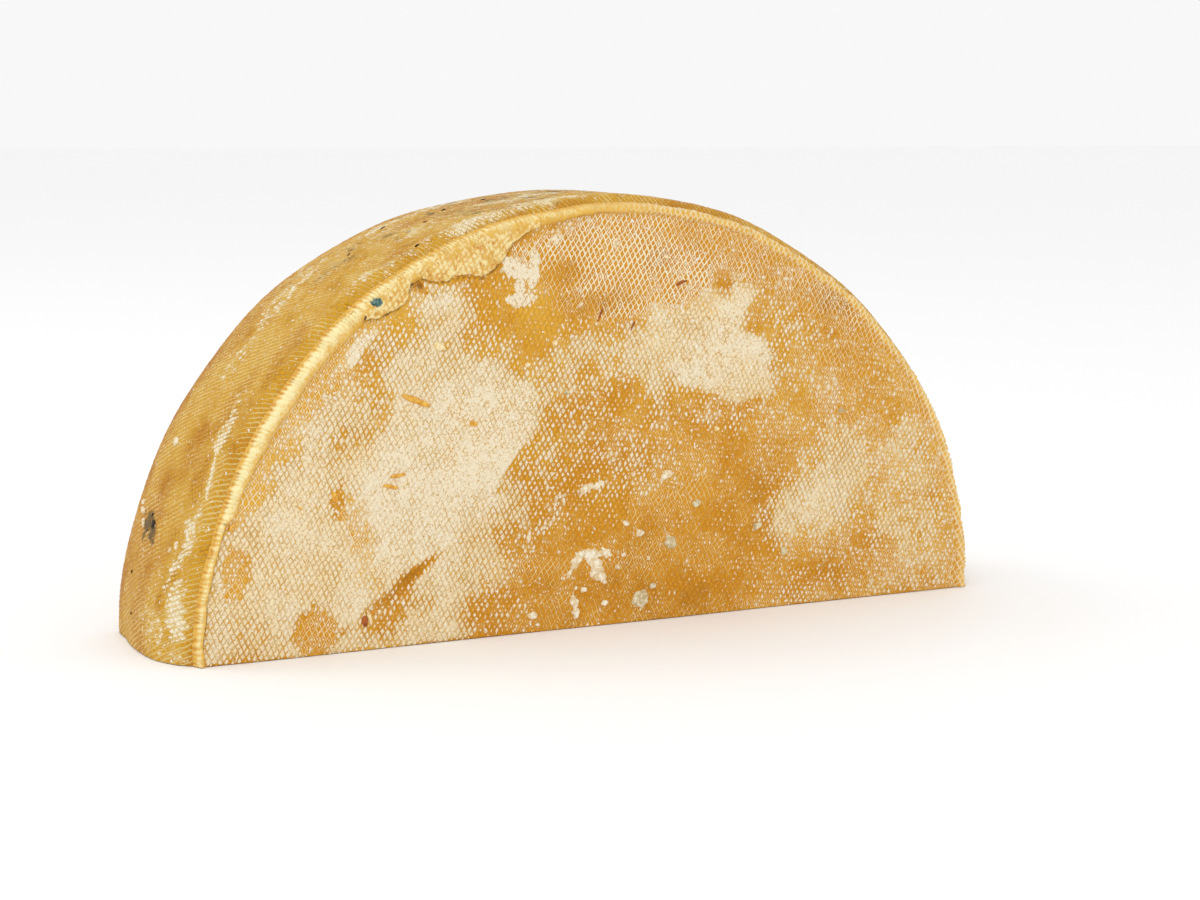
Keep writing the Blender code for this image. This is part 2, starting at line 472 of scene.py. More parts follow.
@dataclass(frozen=True)
class RindFinish:
    """Washed rind: ochre to brown ground, cream bloom in the cells or lines of the cloth net."""

    name: str
    ochre: Rgb = tint(227, 172, 56)
    orange: Rgb = tint(211, 145, 34)
    brown: Rgb = tint(146, 84, 14)
    pale_line: Rgb = tint(238, 194, 98)
    lace: Rgb = tint(252, 240, 202)
    cream: Rgb = tint(239, 228, 201)
    warm_cream: Rgb = tint(238, 216, 170)
    # Colour of grime, and of the painted shade that goes with it
    grime_and_shade: Rgb = tint(92, 72, 44)
    speck: Rgb = tint(246, 244, 236)
    scratch: Rgb = tint(192, 144, 58)
    second_family: float = 1.0
    crease: float = 0.30
    line_width: float = 0.10
    line_cream: float = 1.0
    cell_fill: float = 0.84
    relief: float = 0.30 * MM

    def dress(self) -> bpy.types.Material:
        """Build the material.

        Returns:
            The material, which reads the levels net_u, net_v, bloom, net, tone, and grime with
            painted shade.
        """
        graph = Graph(self.name)
        bloom, net, tone = graph.level("bloom"), graph.level("net"), graph.level("tone")
        grit = graph.speckle(0.34 * MM, 2.0, 0.7)
        fine = graph.speckle(0.75 * MM, 3.0, 0.65)
        fluff = graph.speckle(2.4 * MM, 4.0, 0.7)
        broad = graph.speckle(14.0 * MM, 5.0, 0.62)
        # The lines wander by a share of a cell
        wobble = graph.speckle(3.6 * MM, 1.0, 0.5) * 0.7 + graph.speckle(MM, 1.0, 0.5) * 0.22
        u, v = graph.level("net_u") + wobble, graph.level("net_v") - wobble
        cell = graph.off_line(u).math("MINIMUM", graph.off_line(v) / self.second_family)
        # Each cell has a throw of its own, so that some fill with bloom before others
        cell_id = graph.add("ShaderNodeCombineXYZ", {}, {0: u.math("FLOOR"), 1: v.math("FLOOR")})
        dice_node = graph.add("ShaderNodeTexWhiteNoise", {}, {"Vector": cell_id.outputs[0]})
        dice = Wire(graph, dice_node.outputs["Value"]) - 0.5
        # Bloom fills each cell from its middle outwards, and where thick it closes over lines
        thick = bloom - (bloom - 0.80).math("MAXIMUM", 0.0) * 0.50
        fray = dice * 0.50 + fluff * 0.80 + fine * 1.30 + grit * 0.7
        creamed = (cell * self.cell_fill + thick * 1.14 + fray).ease(0.87, 0.99)
        # Where the rind was wiped, the bloom stays in the lines alone
        line = cell + fine * 0.22 + dice * 0.08 - net * self.line_width
        wiped = (net + fluff * 1.1 + fine * 0.5).ease(0.05, 0.30) * self.line_cream
        cream_share = creamed.math("MAXIMUM", line.ease(0.16, 0.07) * wiped)
        shade = tone + broad * 0.5 + fluff * 0.45 + fine * 0.5 + grit * 0.25
        ground = graph.blend(shade.ease(0.0, 0.55), self.ochre, self.orange)
        ground = graph.blend(shade.ease(0.5, 1.2), ground, self.brown)
        ground = graph.blend(thick.ease(0.45, 0.95) * 0.6, ground, self.pale_line)
        # Cells are ringed by darker creases, partly their own colour and partly painted shade of
        # the net's grooves, and pits hold dark specks
        ring = cell.ease(0.42, 0.05) * (fine + 0.6).ease(0.3, 0.8) * self.crease
        pit = (fine * 1.2 + grit * 0.8).ease(-0.18, -0.34) * 0.6
        ground = graph.blend(ring.math("MAXIMUM", pit), ground, self.brown)
        # The powder is warmer on darker ground, and whiter in the lone dots of bare rind
        warmth = (broad + fluff + fine * 0.8 + dice * 0.35 + tone * 0.9).ease(-0.15, 0.75)
        powder = graph.blend(warmth, self.cream, self.warm_cream)
        powder = graph.blend((0.72 - thick).ease(0.0, 0.4) * 0.45, powder, self.speck)
        # Lines are plain pale orange where few of them carry bloom
        lace = graph.blend(net.ease(0.25, 0.85), self.pale_line, self.lace)
        powder = graph.blend((1.0 - creamed) * 0.85, powder, lace)
        # Wear scratches the powder off, first along the seams between cells
        seam = (broad * 1.5 + fluff * 1.3 + dice * 0.3).ease(-0.22, 0.24) * cell.ease(0.38, 0.0)
        worn = (fine * 1.6 + grit * 1.5 + fluff * 0.5 + seam * 0.36).ease(0.12, 0.27) * creamed
        powder = graph.blend(worn * 0.74, powder, self.scratch)
        colour = graph.blend(cream_share * 0.93, ground, powder)
        fleck = (graph.grain(1.15 * MM, 2.0, 0.5) + grit * 0.10).ease(0.675, 0.705) * 0.9
        colour = graph.blend(fleck, colour, self.speck)
        # Grime darkens the colour; the same level carries painted shade along the torn flap's edge
        # and where its lobes meet
        stain_and_shade = (graph.level("grime_and_shade") + fluff * 0.9 + fine * 0.6).ease(0.25, 0.95)
        colour = graph.blend(stain_and_shade * 0.85, colour, self.grime_and_shade)
        rough = fluff * 0.7 + fine * 0.6 + grit * 0.2
        height = cell.ease(0.0, 0.5) * (0.6 - creamed * 0.3) + rough + cream_share * 0.35
        graph.bump(height, self.relief)
        return graph.finish(colour, 0.50 + cream_share * 0.3, {"Specular IOR Level": 0.12})


@dataclass(frozen=True)
class BeadFinish:
    """Pressed edge: waxy pale yellow, deeper in its creases, with a painted highlight along its
    crest and painted shade in its cracks.
    """

    name: str
    pale: Rgb = tint(252, 238, 178)
    yellow: Rgb = tint(233, 184, 74)
    deep: Rgb = tint(216, 150, 50)
    line: Rgb = tint(246, 232, 192)
    # Colour of the painted shade
    dark: Rgb = tint(96, 60, 28)

    def dress(self) -> bpy.types.Material:
        """Build the material.

        Returns:
            The material, which reads the levels crest (a painted highlight), crease (partly painted
            shade), soot (painted shade), foot, net_u and net_v.
        """
        graph = Graph(self.name)
        fine = graph.speckle(0.6 * MM, 3.0, 0.7)
        fluff = graph.speckle(2.4 * MM, 4.0, 0.7)
        # The crest level is a painted highlight: it turns the yellow pale along the bead's crest
        light = graph.level("crest") + fluff * 1.3 + fine * 0.9
        colour = graph.blend(light.ease(0.10, 0.75), self.yellow, self.pale)
        # The crease level deepens the colour: partly the rind's own colour in ribs, notches and
        # pits, partly painted shade at the bead's foot, at the flap's torn edge and beneath the
        # flap
        worn = graph.level("crease") + fluff * 1.4 + fine * 1.5
        colour = graph.blend(worn.ease(0.30, 0.85) * 0.85, colour, self.deep)
        # The soot level is painted shade: dark in cracks, in a hole, under the bead and in its
        # crease on the heel side
        soot = graph.level("soot") + fluff * 0.5 + fine * 0.3
        colour = graph.blend(soot.ease(0.4, 0.8), colour, self.dark)
        # The cloth's lines run up onto the foot
        first, second = graph.off_line(graph.level("net_u")), graph.off_line(graph.level("net_v"))
        lined = (first.math("MINIMUM", second) + fine * 0.4).ease(0.34, 0.12) * graph.level("foot")
        colour = graph.blend(lined, colour, self.line)
        graph.bump(fluff * 0.8 + fine * 0.8, 0.40 * MM)
        return graph.finish(colour, 0.42 + fluff * 0.2, {"Specular IOR Level": 0.45})


@dataclass(frozen=True)
class PasteFinish:
    """Cut cheese: pale yellow, darker towards the rind."""

    name: str
    paste: Rgb = tint(250, 228, 148)
    rim: Rgb = tint(240, 204, 104)
    rind: Rgb = tint(206, 148, 60)

    def dress(self) -> bpy.types.Material:
        """Build the material.

        Returns:
            The material, which reads the level depth_in, the distance from the rind in mm.
        """
        graph = Graph(self.name)
        depth = graph.level("depth_in")
        fluff = graph.speckle(6.0 * MM)
        fine = graph.speckle(0.8 * MM)
        colour = graph.blend((depth + fluff * 3.0).ease(8.0, 1.0), self.paste, self.rim)
        colour = graph.blend((depth + fine * 1.2).ease(1.6, 0.5), colour, self.rind)
        graph.bump(fluff * 0.3 + fine * 0.2, 0.20 * MM)
        return graph.finish(colour, 0.38 + fluff * 0.1, {"Specular IOR Level": 0.5})


@dataclass(frozen=True)
class CrumbFinish:
    """Small dry bits on the rind, of one hue with paler and darker spots."""

    name: str
    light: Rgb
    dark: Rgb
    rough: float = 0.8

    def dress(self) -> bpy.types.Material:
        """Build the material.

        Returns:
            The material.
        """
        graph = Graph(self.name)
        fluff = graph.grain(1.6 * MM, 4.0, 0.7)
        colour = graph.blend(fluff.ease(0.38, 0.66), self.dark, self.light)
        graph.bump(graph.grain(0.5 * MM), 0.25 * MM)
        return graph.finish(colour, self.rough, {"Specular IOR Level": 0.3})


# Meshes


def add_mesh(name: str, points: np.ndarray, faces: np.ndarray) -> bpy.types.Object:
    """Put an array of points and faces into a smooth-shaded object.

    Args:
        name: Name of the piece.
        points: Array of n by 3 coordinates in metres.
        faces: Array of m by 3 or m by 4 point numbers, which run counter-clockwise outside.

    Returns:
        The object, at the origin.
    """
    mesh = bpy.data.meshes.new(name)
    sides = faces.shape[1]
    mesh.vertices.add(len(points))
    mesh.vertices.foreach_set("co", points.astype(np.float32).ravel())
    mesh.loops.add(faces.size)
    mesh.loops.foreach_set("vertex_index", faces.astype(np.int32).ravel())
    mesh.polygons.add(len(faces))
    mesh.polygons.foreach_set("loop_start", np.arange(0, faces.size, sides, dtype=np.int32))
    mesh.polygons.foreach_set("loop_total", np.full(len(faces), sides, dtype=np.int32))
    mesh.polygons.foreach_set("use_smooth", np.ones(len(faces), dtype=bool))
    mesh.update(calc_edges=True)
    mesh.validate()
    piece = bpy.data.objects.new(name, mesh)
    bpy.context.collection.objects.link(piece)
    return piece


def carry(piece: bpy.types.Object, levels: Mapping[str, np.ndarray]) -> None:
    """Store numbers at the points of a piece, for its material to read.

    Args:
        piece: The piece.
        levels: Arrays of one number for each point, by name.
    """
    for name, values in levels.items():
        layer = piece.data.attributes.new(name, "FLOAT", "POINT")
        layer.data.foreach_set("value", np.asarray(values, dtype=np.float32).ravel())


def unwrap(piece: bpy.types.Object, corners: np.ndarray) -> None:
    """Give a piece its own UV map.

    Args:
        piece: The piece.
        corners: Array of one UV pair for each face corner.
    """
    layer = piece.data.uv_layers.new(name="own")
    layer.uv.foreach_set("vector", np.clip(corners, 0.0, 1.0).astype(np.float32).ravel())


def grid_faces(rows: int, columns: int, closed: bool = False) -> np.ndarray:
    """Number the faces of a grid whose points run along its rows.

    Args:
        rows: Number of rows of points.
        columns: Number of points in a row.
        closed: Whether each row's last point joins its first.

    Returns:
        Array of quads.
    """
    last = columns if closed else columns - 1
    row, column = np.meshgrid(np.arange(rows - 1), np.arange(last), indexing="ij")
    here = row * columns + column
    beside = row * columns + (column + 1) % columns
    return np.stack([here, beside, beside + columns, here + columns], -1).reshape(-1, 4)


def attach(piece: bpy.types.Object, material: bpy.types.Material) -> bpy.types.Object:
    """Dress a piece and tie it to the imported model.

    Args:
        piece: The piece.
        material: Its finish.

    Returns:
        The piece.
    """
    piece.data.materials.append(material)
    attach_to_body(piece, BODY)
    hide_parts(NODE)
    return piece


def map_strip(
    piece: bpy.types.Object,
    along: np.ndarray,
    across: np.ndarray,
    faces: np.ndarray,
    rows: int,
    margin: float = 0.0,
) -> None:
    """Give a long strip its UV map: the strip is cut into rows that lie above each other.

    Args:
        piece: The piece.
        along: Share of the strip's length at each point.
        across: Share of its width at each point.
        faces: The piece's faces.
        rows: Number of rows.
        margin: Share of the map that stays free at both ends of a row.
    """
    row = np.minimum(np.floor(along[faces].mean(axis=1) * rows), rows - 1)[:, None]
    u = margin + (1.0 - 2.0 * margin) * (along[faces] * rows - row)
    v = (row + 0.02 + 0.96 * across[faces]) / rows
    unwrap(piece, np.stack([u, v], -1))


@dataclass
class Wheel:
    """The settled half wheel: a cross-section turned through half a turn.

    An angle runs from 0 at the left end of the cut over the top to pi at the right end.
    """

    low: np.ndarray
    high: np.ndarray
    radius: float = 150.0 * MM
    thickness: float = 69.5 * MM
    heel_swell: float = 3.7 * MM
    heel_round: float = 5.1 * MM
    heel_rise: float = 4.5 * MM
    crease_depth: float = 0.6 * MM
    crease_place: float = 2.6 * MM
    back_corner: float = 3.0 * MM
    droop: float = 4.4 * MM
    droop_angle: float = 11.0
    droop_places: tuple[float, float, float] = (0.08, 0.30, 0.80)
    sag_spread: float = 0.0324
    sag_lean: float = -0.0022
    sag_skew: float = -0.0044
    lump: float = 0.4 * MM
    bead_proud: float = 1.4 * MM
    middle: float = field(init=False)
    front: float = field(init=False)

    def __post_init__(self) -> None:
        """Find the axis and the front face from the frame's box, which both ends touch."""
        depths = np.linspace(0.0, self.thickness, 700)
        offset = self.heel_offset(depths)
        ends = []
        for turn in (np.zeros(1), np.full(1, math.pi)):
            reach = self.radius + offset + self.droop_at(turn, depths) + self.lumps(turn, offset)
            ends.append(float((reach * self.rim(turn) / self.radius).max()))
        self.middle = 0.5 * (self.low[0] + self.high[0]) + 0.5 * (ends[0] - ends[1])
        self.front = float(self.low[1]) + self.bead_proud

    def rim(self, turn: np.ndarray) -> np.ndarray:
        """Measure out to the bead's crest: the wheel's radius times the sag's waves.

        Args:
            turn: Angles in radians.

        Returns:
            Radii in metres.
        """
        skew = self.sag_skew * np.cos(3.0 * turn)
        spread = self.sag_spread * np.cos(2.0 * turn) + self.sag_lean * np.sin(2.0 * turn)
        return self.radius * (1.0 + spread + skew)

    def heel_offset(self, depth: np.ndarray) -> np.ndarray:
        """Raise the heel over the crest: a sine rise and a rounded fall to the back.

        Args:
            depth: Distances behind the front face in metres.

        Returns:
            Heights over the crest in metres.
        """
        rise = np.clip((depth - self.crease_place) / self.heel_rise, 0.0, 1.0)
        height = self.heel_swell + self.crease_depth
        swell = height * np.sin(rise * math.pi / 2) - self.crease_depth
        drop = np.clip((depth / self.thickness - 0.45) / 0.55, 0.0, 1.0) ** 3
        return swell - self.heel_round * (1.0 - np.sqrt(1.0 - drop))

    def droop_at(self, turn: np.ndarray, depth: np.ndarray) -> np.ndarray:
        """Swell the heel near the table: a sine hump across the heel, a bell up the rim.

        Args:
            turn: Angles in radians.
            depth: Distances behind the front face in metres.

        Returns:
            Extra heights over the crest in metres.
        """
        share = np.interp(depth / self.thickness, self.droop_places, (0.0, 0.5, 1.0))
        angle = np.degrees(np.minimum(turn, math.pi - turn))
        return self.droop * np.sin(math.pi * share) * bell(angle, 0.0, self.droop_angle)

    def lumps(self, turn: np.ndarray, offset: np.ndarray) -> np.ndarray:
        """Return the outline's slow lumps, which fade towards the axis."""
        outward = np.clip(1.0 + offset / self.radius, 0.0, 1.0)
        return self.lump * outward ** 3 * (np.sin(7.0 * turn + 1.3) + 0.6 * np.sin(17.0 * turn))

    def wave(self, x: np.ndarray, z: np.ndarray, outward: np.ndarray) -> np.ndarray:
        """Return the round faces' slow swelling, which fades towards the rim."""
        fade = self.lump * (1.0 - outward ** 4)
        return fade * np.sin(41.0 * x + 0.7) * np.cos(37.0 * z - 0.4)

    def point(self, turn: np.ndarray, offset: np.ndarray, depth: np.ndarray) -> np.ndarray:
        """Place points: offset runs outwards from the bead's crest, depth back from the face.

        Args:
            turn: Angles in radians.
            offset: Radial distances from the crest in metres.
            depth: Distances behind the front face in metres.

        Returns:
            Array of n by 3 coordinates.
        """
        radius = (self.radius + offset + self.lumps(turn, offset)) * self.rim(turn) / self.radius
        x = np.clip(self.middle - radius * np.cos(turn), self.low[0], self.high[0])
        z = np.clip(radius * np.sin(turn), 0.0, self.high[2])
        return np.stack([x, self.front + depth + 0.0 * x, z], -1)


# The cloth's net


@dataclass(frozen=True)
class Sheet:
    """A grid on the cloth's lines: flat coordinates, line counts of both families, quads."""

    u: np.ndarray
    v: np.ndarray
    p: np.ndarray
    q: np.ndarray
    faces: np.ndarray


@dataclass(frozen=True)
class ClothNet:
    """Two families of lines that the cheese cloth pressed into the rind.

    Each family is the number of its lines in a metre along either coordinate. Points of a
    grid stand on the lines and at the other stations between them.
    """

    first: tuple[float, float] = (501.1, 221.0)
    second: tuple[float, float] = (430.8, -363.7)
    stations: tuple[float, ...] = (0.0, 0.2, 0.8)
    groove_half: float = 0.35
    sway: float = 0.5 * MM
    sway_size: float = 45.0 * MM

    def counts(self, u: np.ndarray, v: np.ndarray) -> tuple[np.ndarray, np.ndarray]:
        """Count the lines of both families up to each point."""
        return tuple(along * u + up * v for along, up in (self.first, self.second))

    def grid(
        self,
        low: tuple[float, float],
        high: tuple[float, float],
        inside: Callable[[np.ndarray, np.ndarray], np.ndarray],
        snap: Callable[[np.ndarray, np.ndarray], tuple[np.ndarray, np.ndarray]],
        seed: int,
    ) -> Sheet:
        """Lay a grid on the net's own lines and trim it to a region.

        A face stays where any of its corners is inside, and its outer corners move onto the
        region's edge.

        Args:
            low: Lowest corner of the region's box.
            high: Highest corner of the region's box.
            inside: Says which points are in the region.
            snap: Moves points onto the region's edge.
            seed: Seed of the cloth's slow sway.

        Returns:
            The grid.
        """
        turn = np.array([self.first, self.second])
        corners = np.array([(x, y) for x in (low[0], high[0]) for y in (low[1], high[1])]) @ turn.T
        counts = []
        for ends in corners.T:
            whole = np.arange(math.floor(ends.min()) - 1, math.ceil(ends.max()) + 2)
            counts.append((whole[:, None] + np.array(self.stations)).ravel())
        p, q = np.meshgrid(*counts, indexing="ij")
        back = np.linalg.inv(turn)
        u = back[0, 0] * p + back[0, 1] * q
        v = back[1, 0] * p + back[1, 1] * q
        u, v = (
            u + self.sway * cloudy(u, v, self.sway_size, seed, 2),
            v + self.sway * cloudy(u, v, self.sway_size, seed + 1, 2),
        )
        kept = inside(u, v)
        faces = grid_faces(*p.shape)
        faces = faces[kept.ravel()[faces].any(axis=1)]
        used, numbers = np.unique(faces, return_inverse=True)
        u, v, p, q, kept = (array.ravel()[used] for array in (u, v, p, q, kept))
        edge_u, edge_v = snap(u, v)
        u, v = np.where(kept, u, edge_u), np.where(kept, v, edge_v)
        faces = numbers.reshape(-1, 4)
        # Twice the signed area of half of each face, which is positive counter-clockwise
        a, b, c = (np.stack([u[faces[:, k]], v[faces[:, k]]], -1) for k in (0, 1, 2))
        side, other = b - a, c - a
        if np.median(side[:, 0] * other[:, 1] - side[:, 1] * other[:, 0]) < 0.0:
            faces = faces[:, ::-1]
        return Sheet(u, v, p, q, faces)

    def groove(self, p: np.ndarray, q: np.ndarray, second_family: float = 1.0) -> np.ndarray:
        """Share out the depth of the lines: a bell across each line, 1 on the line.

        Args:
            p: Line counts of the first family.
            q: Line counts of the second family.
            second_family: Depth of the second family's lines.

        Returns:
            Shares of the groove's depth.
        """
        off = [1.0 - 2.0 * np.abs(count - np.floor(count) - 0.5) for count in (p, q)]
        first, second = (bell(share, 0.0, self.groove_half) for share in off)
        return np.maximum(first, second_family * second)


FACE_NET = ClothNet()

# Rows of patches: place, half sizes, turn, softness, bloom, net, tone, raggedness, grime with
# painted shade, and strength. Those of the front face are in millimetres from the axis along the
# cut and above it.
FACE_PATCHES = (
    # Ochre ground with dots in the upper left middle
    (-48, 98, 42, 20, 5, 0.5, 0.1, 0.05, 0.2),
    (-68, 111, 13, 8, 0, 0.6, 0.74, KEEP, 0.3),
    (-14, 92, 18, 12, 60, 0.5, 0.57, 0, 0.22),
    (-30, 84, 22, 8, 30, 0.5, 0.7, KEEP, 0.15),
    (6, 84, 20, 13, 20, 0.6, 0.72, 0.1, 0.22),
    # Orange-brown lower right with thin net lines and few dots
    (12, 30, 62, 46, 0, 0.3, 0.1, 0.24, 0.6),
    (-8, 62, 30, 20, 15, 0.4, 0.3, 0.15, 0.42),
    (25, 62, 26, 16, -10, 0.5, 0.32, 0.2, 0.46),
    (48, 34, 30, 22, 60, 0.6, 0.14, 0.2, 0.62),
    # Wide creamy field of the left half
    (-88, 50, 60, 48, 20, 0.3, 0.92, 0, 0.22),
    (-124, 24, 30, 30, 0, 0.4, 0.95, 0, 0.3),
    (-74, 16, 28, 22, 0, 0.4, 0.95, KEEP, 0.28),
    (-118, 62, 15, 26, -12, 0.4, 0.97, KEEP, 0.25),
    (-66, 62, 34, 19, 40, 0.35, 1.24, KEEP, 0),
    (-50, 70, 18, 11, 45, 0.25, 1.5, KEEP, 0),
    (-72, 42, 22, 13, 10, 0.5, 1.1, KEEP, 0.05),
    # The core ends at the right in a slanting edge, with rows of cream cells below it
    (-22, 52, 34, 11.5, 48, 0.12, 0.3, 0.1, 0.42, 0.1),
    (-30.1, 54, 24, 11.7, 47.5, 0.08, 0.44, 0, 0.38, 0.05),
    (-42.9, 60.4, 9.4, 2.2, 47.5, 0.2, 1.6, 0, 0, 0.05),
    (-42, 43, 10, 6, 60, 0.4, 0.66, 0, 0.4),
    (-52, 28, 9, 13, 0, 0.5, 0.8, KEEP, 0.35),
    (-45, 8, 14, 10, 0, 0.5, 0.38, 0.2, 0.5),
    # Orange stains in the creamy field
    (-100, 71, 13, 6.5, 30, 0.6, 0.56, 0.15, 0.36, 0.5),
    (-92, 86, 8, 5, 20, 0.6, 0.62, KEEP, 0.32, 0.5),
    (-105, 50, 3.5, 5, 0, 0.5, 0.3, KEEP, 0.45, 0.5),
    (-98, 38, 5, 17, 14, 0.6, 0.46, 0.5, 0.44, 0.4, KEEP, 0.9),
    (-114, 7, 7, 8.5, 0, 0.35, 0.18, 0.45, 0.46),
    (-142, 28, 5, 11, -8, 0.3, 0.22, 0.4, 0.28),
    (-135, 9, 7, 9, 0, 0.5, 0.62, 0, 0.36),
    (-148, 9, 6, 10, 0, 0.4, 0.88, 0, 0.22),
    (-86, 12, 13, 7, 30, 0.6, 0.5, KEEP, 0.5, 0.5),
    # Brown crease
    (-84, 19, 19, 2.4, 35, 0.6, 0.36, 0, 0.7, 0.6),
    (-77, 24.5, 8, 1.5, 36, 0.6, -0.1, 0, 0.85, 0.5),
    # Second creamy field on the right
    (36, 98, 32, 22, 10, 0.5, 0.84, 0.2, 0.22, 0.6),
    (39, 92, 20, 12, 30, 0.3, 1.3, KEEP, 0.05, 0.65),
    (52, 84, 16, 7, -5, 0.4, 1.05, KEEP, 0.15),
    (30, 112, 14, 9, 0, 0.6, 0.8, 0.3, 0.25),
    (44, 117, 7, 3, -50, 0.5, 0.24, 0.1, 0.45),
    (26, 118.5, 5, 2, 25, 0.5, 0.1, 0.1, 0.75),
    (60, 104, 12, 6, -40, 0.5, 0.28, 0.3, 0.44),
    (52, 112, 6, 4, 0, 0.5, 0.9, 0.2, 0.2),
    # Net of cream lines at the top, its darkest cells left of the middle
    (2, 128, 36, 17, -8, 0.3, 0.08, 1.3, 0.55),
    (-21, 122, 9, 5, 0, 0.6, 0.02, 0.42, 0.66),
    (-12, 112, 14, 4, 0, 0.6, 0.1, 0.5, 0.66),
    (10, 116, 12, 6, 30, 0.6, 0.22, 0.8, 0.52),
    (-30, 138, 16, 4, 12, 0.6, 0.52, 0.2, 0.45),
    (40, 129, 22, 7, -18, 0.6, 0.18, 0.75, 0.58),
    (64, 121, 24, 6, -32, 0.6, 0.2, 0.55, 0.58),
    (92, 106, 20, 9, -46, 0.6, 0.16, 0.6, 0.66),
    # White blots below the torn flap
    (-40.5, 125, 4.6, 3.4, -30, 0.12, 1.9, KEEP, -0.3, 0.5),
    (-32.5, 124.5, 1.5, 6.6, -4, 0.12, 1.9, KEEP, -0.3, 0.5),
    (-38, 118.5, 1.6, 4, 10, 0.12, 1.9, KEEP, -0.3, 0.5),
    (-38, 113.5, 4.8, 1.9, 5, 0.12, 1.9, KEEP, -0.3, 0.5),
    (-24, 134, 2, 1.4, 20, 0.12, 1.8, KEEP, -0.2, 0.5),
    (-0.5, 132, 1.1, 0.8, 0, 0.12, 1.8, KEEP, -0.2, 0.5),
    (-70, 113, 5, 3, 0, 0.4, 1.15, KEEP, 0, 0.6),
    (-98, 100, 9, 2.4, 46, 0.4, 1.5, 0.1, -0.2, 0.5),
    # Painted shade in the gap where the flap's two lobes meet: darker tone and grime, less bloom
    (-77.5, 121, 4.5, 1.6, -48, 0.5, -0.2, 0, 1.1, 0.5, 0.5),
    # The far right, which is plainer
    (105, 66, 26, 34, 20, 0.5, 0.28, 0.35, 0.48),
    (88, 40, 24, 16, 30, 0.5, 0.82, 0.1, 0.3),
    (128, 34, 15, 26, 0, 0.5, 0.62, 0.3, 0.36),
    (92, 14, 26, 9, 0, 0.5, 0.3, 0.25, 0.55),
)
# Patches of the heel, in millimetres along its girth from the left and behind the bead
HEEL_PATCHES = (
    (20, 10, 19, 6, 8, 0.6, 0.72, 0.6, 0, 0.9),
    (12, 22, 10, 8, 20, 0.6, 0.5, 0.6, 0.1, 0.9),
    (64, 13, 13, 1.5, 22, 0.6, 0.9, 0.5, 0, 0.9),
    (78, 16, 9, 4.4, 22, 0.6, 0.82, 0.5, 0, 1),
    (112, 40, 16, 4, 8, 0.6, 0.58, 0.5, 0.1, 0.9),
    (150, 7, 20, 4, 0, 0.6, 0.7, 0.6, 0, 0.7),
    (190, 34, 80, 36, 0, 0.6, 0.34, 0.8, 0.16),
    (140, 26, 26, 12, 6, 0.6, 0.14, 0.6, 0.1, 0.8),
    (134, 46, 20, 4, 6, 0.6, 0.62, 0.5, 0, 1, 0.15),
    (164, 22, 16, 3, 5, 0.6, 0.66, 0.5, 0, 1),
    (196, 6, 34, 4, 2, 0.6, 0.7, 0.5, 0.05, 0.8),
    (226, 36, 38, 22, 12, 0.6, 0.5, 0.5, 0.46, 0.7, 0.4),
    (180, 36, 32, 12, 4, 0.6, 0.36, KEEP, KEEP, 0.9, 0.3),
    (206, 20, 14, 6, 10, 0.6, KEEP, KEEP, KEEP, 0.9, 0.36),
    (190, 50, 18, 4, 3, 0.6, 0.72, 0.4, 0, 1),
    (216, 28, 14, 3.5, 4, 0.6, 0.76, 0.4, 0, 1),
    (236, 44, 14, 4, 4, 0.6, 0.76, 0.4, 0, 1),
    (40, 42, 5, 17, 8, 0.7, KEEP, KEEP, 0.5, 0.7, 0.24),
    (39, 44, 6, 3.8, 80, 0.9, 0, KEEP, 0.6, 1, 0.95),
    (250, 56, 30, 10, 0, 0.6, 0.45, 0.4, 0.34, 0.5),
    (300, 22, 30, 14, -12, 0.6, 0.46, 0.6, 0.22, 0.8),
    (350, 44, 34, 12, 8, 0.6, 0.4, 0.5, 0.12, 0.8, 0.2),
    (420, 18, 26, 10, 0, 0.6, 0.48, 0.6, 0.25, 0.8),
    (60, 66, 130, 6, 0, 0.7, 0.1, 0.3, 0.52),
    (330, 66, 150, 6, 0, 0.7, 0.15, 0.3, 0.5),
)
# Patches of the back face
BACK_PATCHES = (
    (60, 60, 70, 44, 20, 0.5, 0.88, 0.1, 0.25),
    (40, 72, 34, 18, 35, 0.4, 1.2, KEEP, 0.02),
    (-70, 50, 50, 40, 0, 0.5, 0.32, 0.5, 0.5),
    (-40, 100, 36, 18, -20, 0.5, 0.7, 0.2, 0.2),
    (10, 128, 40, 14, 0, 0.5, 0.18, 0.9, 0.5),
    (-110, 30, 22, 26, 10, 0.5, 0.9, 0, 0.3),
    (0, 20, 40, 14, 10, 0.5, 0.45, 0.4, 0.55),
    (110, 30, 18, 20, 0, 0.5, 0.35, 0.5, 0.42),
)

FACE_COAT = Coat(
    0.40, 0.25, 0.38, [Patch(*row) for row in FACE_PATCHES], 300,
    (
        Cloud("bloom", 0.16, 9.0, 41),
        Cloud("net", 0.22, 11.0, 43, 3),
        Cloud("tone", 0.16, 16.0, 47),
    ),
)
BACK_COAT = Coat(
    0.45, 0.30, 0.36, [Patch(*row) for row in BACK_PATCHES], 500,
    (
        Cloud("bloom", 0.18, 12.0, 81),
        Cloud("net", 0.30, 11.0, 83, 3),
        Cloud("tone", 0.18, 18.0, 87),
    ),
)
HEEL_COAT = Coat(
    0.10, 0.52, 0.26, [Patch(*row) for row in HEEL_PATCHES], 700,
    (
        Cloud("bloom", 0.22, 5.0, 61, stretch=2.0),
        Cloud("net", 0.60, 9.0, 63),
        Cloud("tone", 0.34, 11.0, 67, stretch=2.0),
    ),
)


@dataclass(frozen=True)
class Lobe:
    """One lobe of the torn flap: angles in degrees and how far its edge reaches, in mm."""

    name: str
    angles: tuple[float, ...]
    reaches: tuple[float, ...]


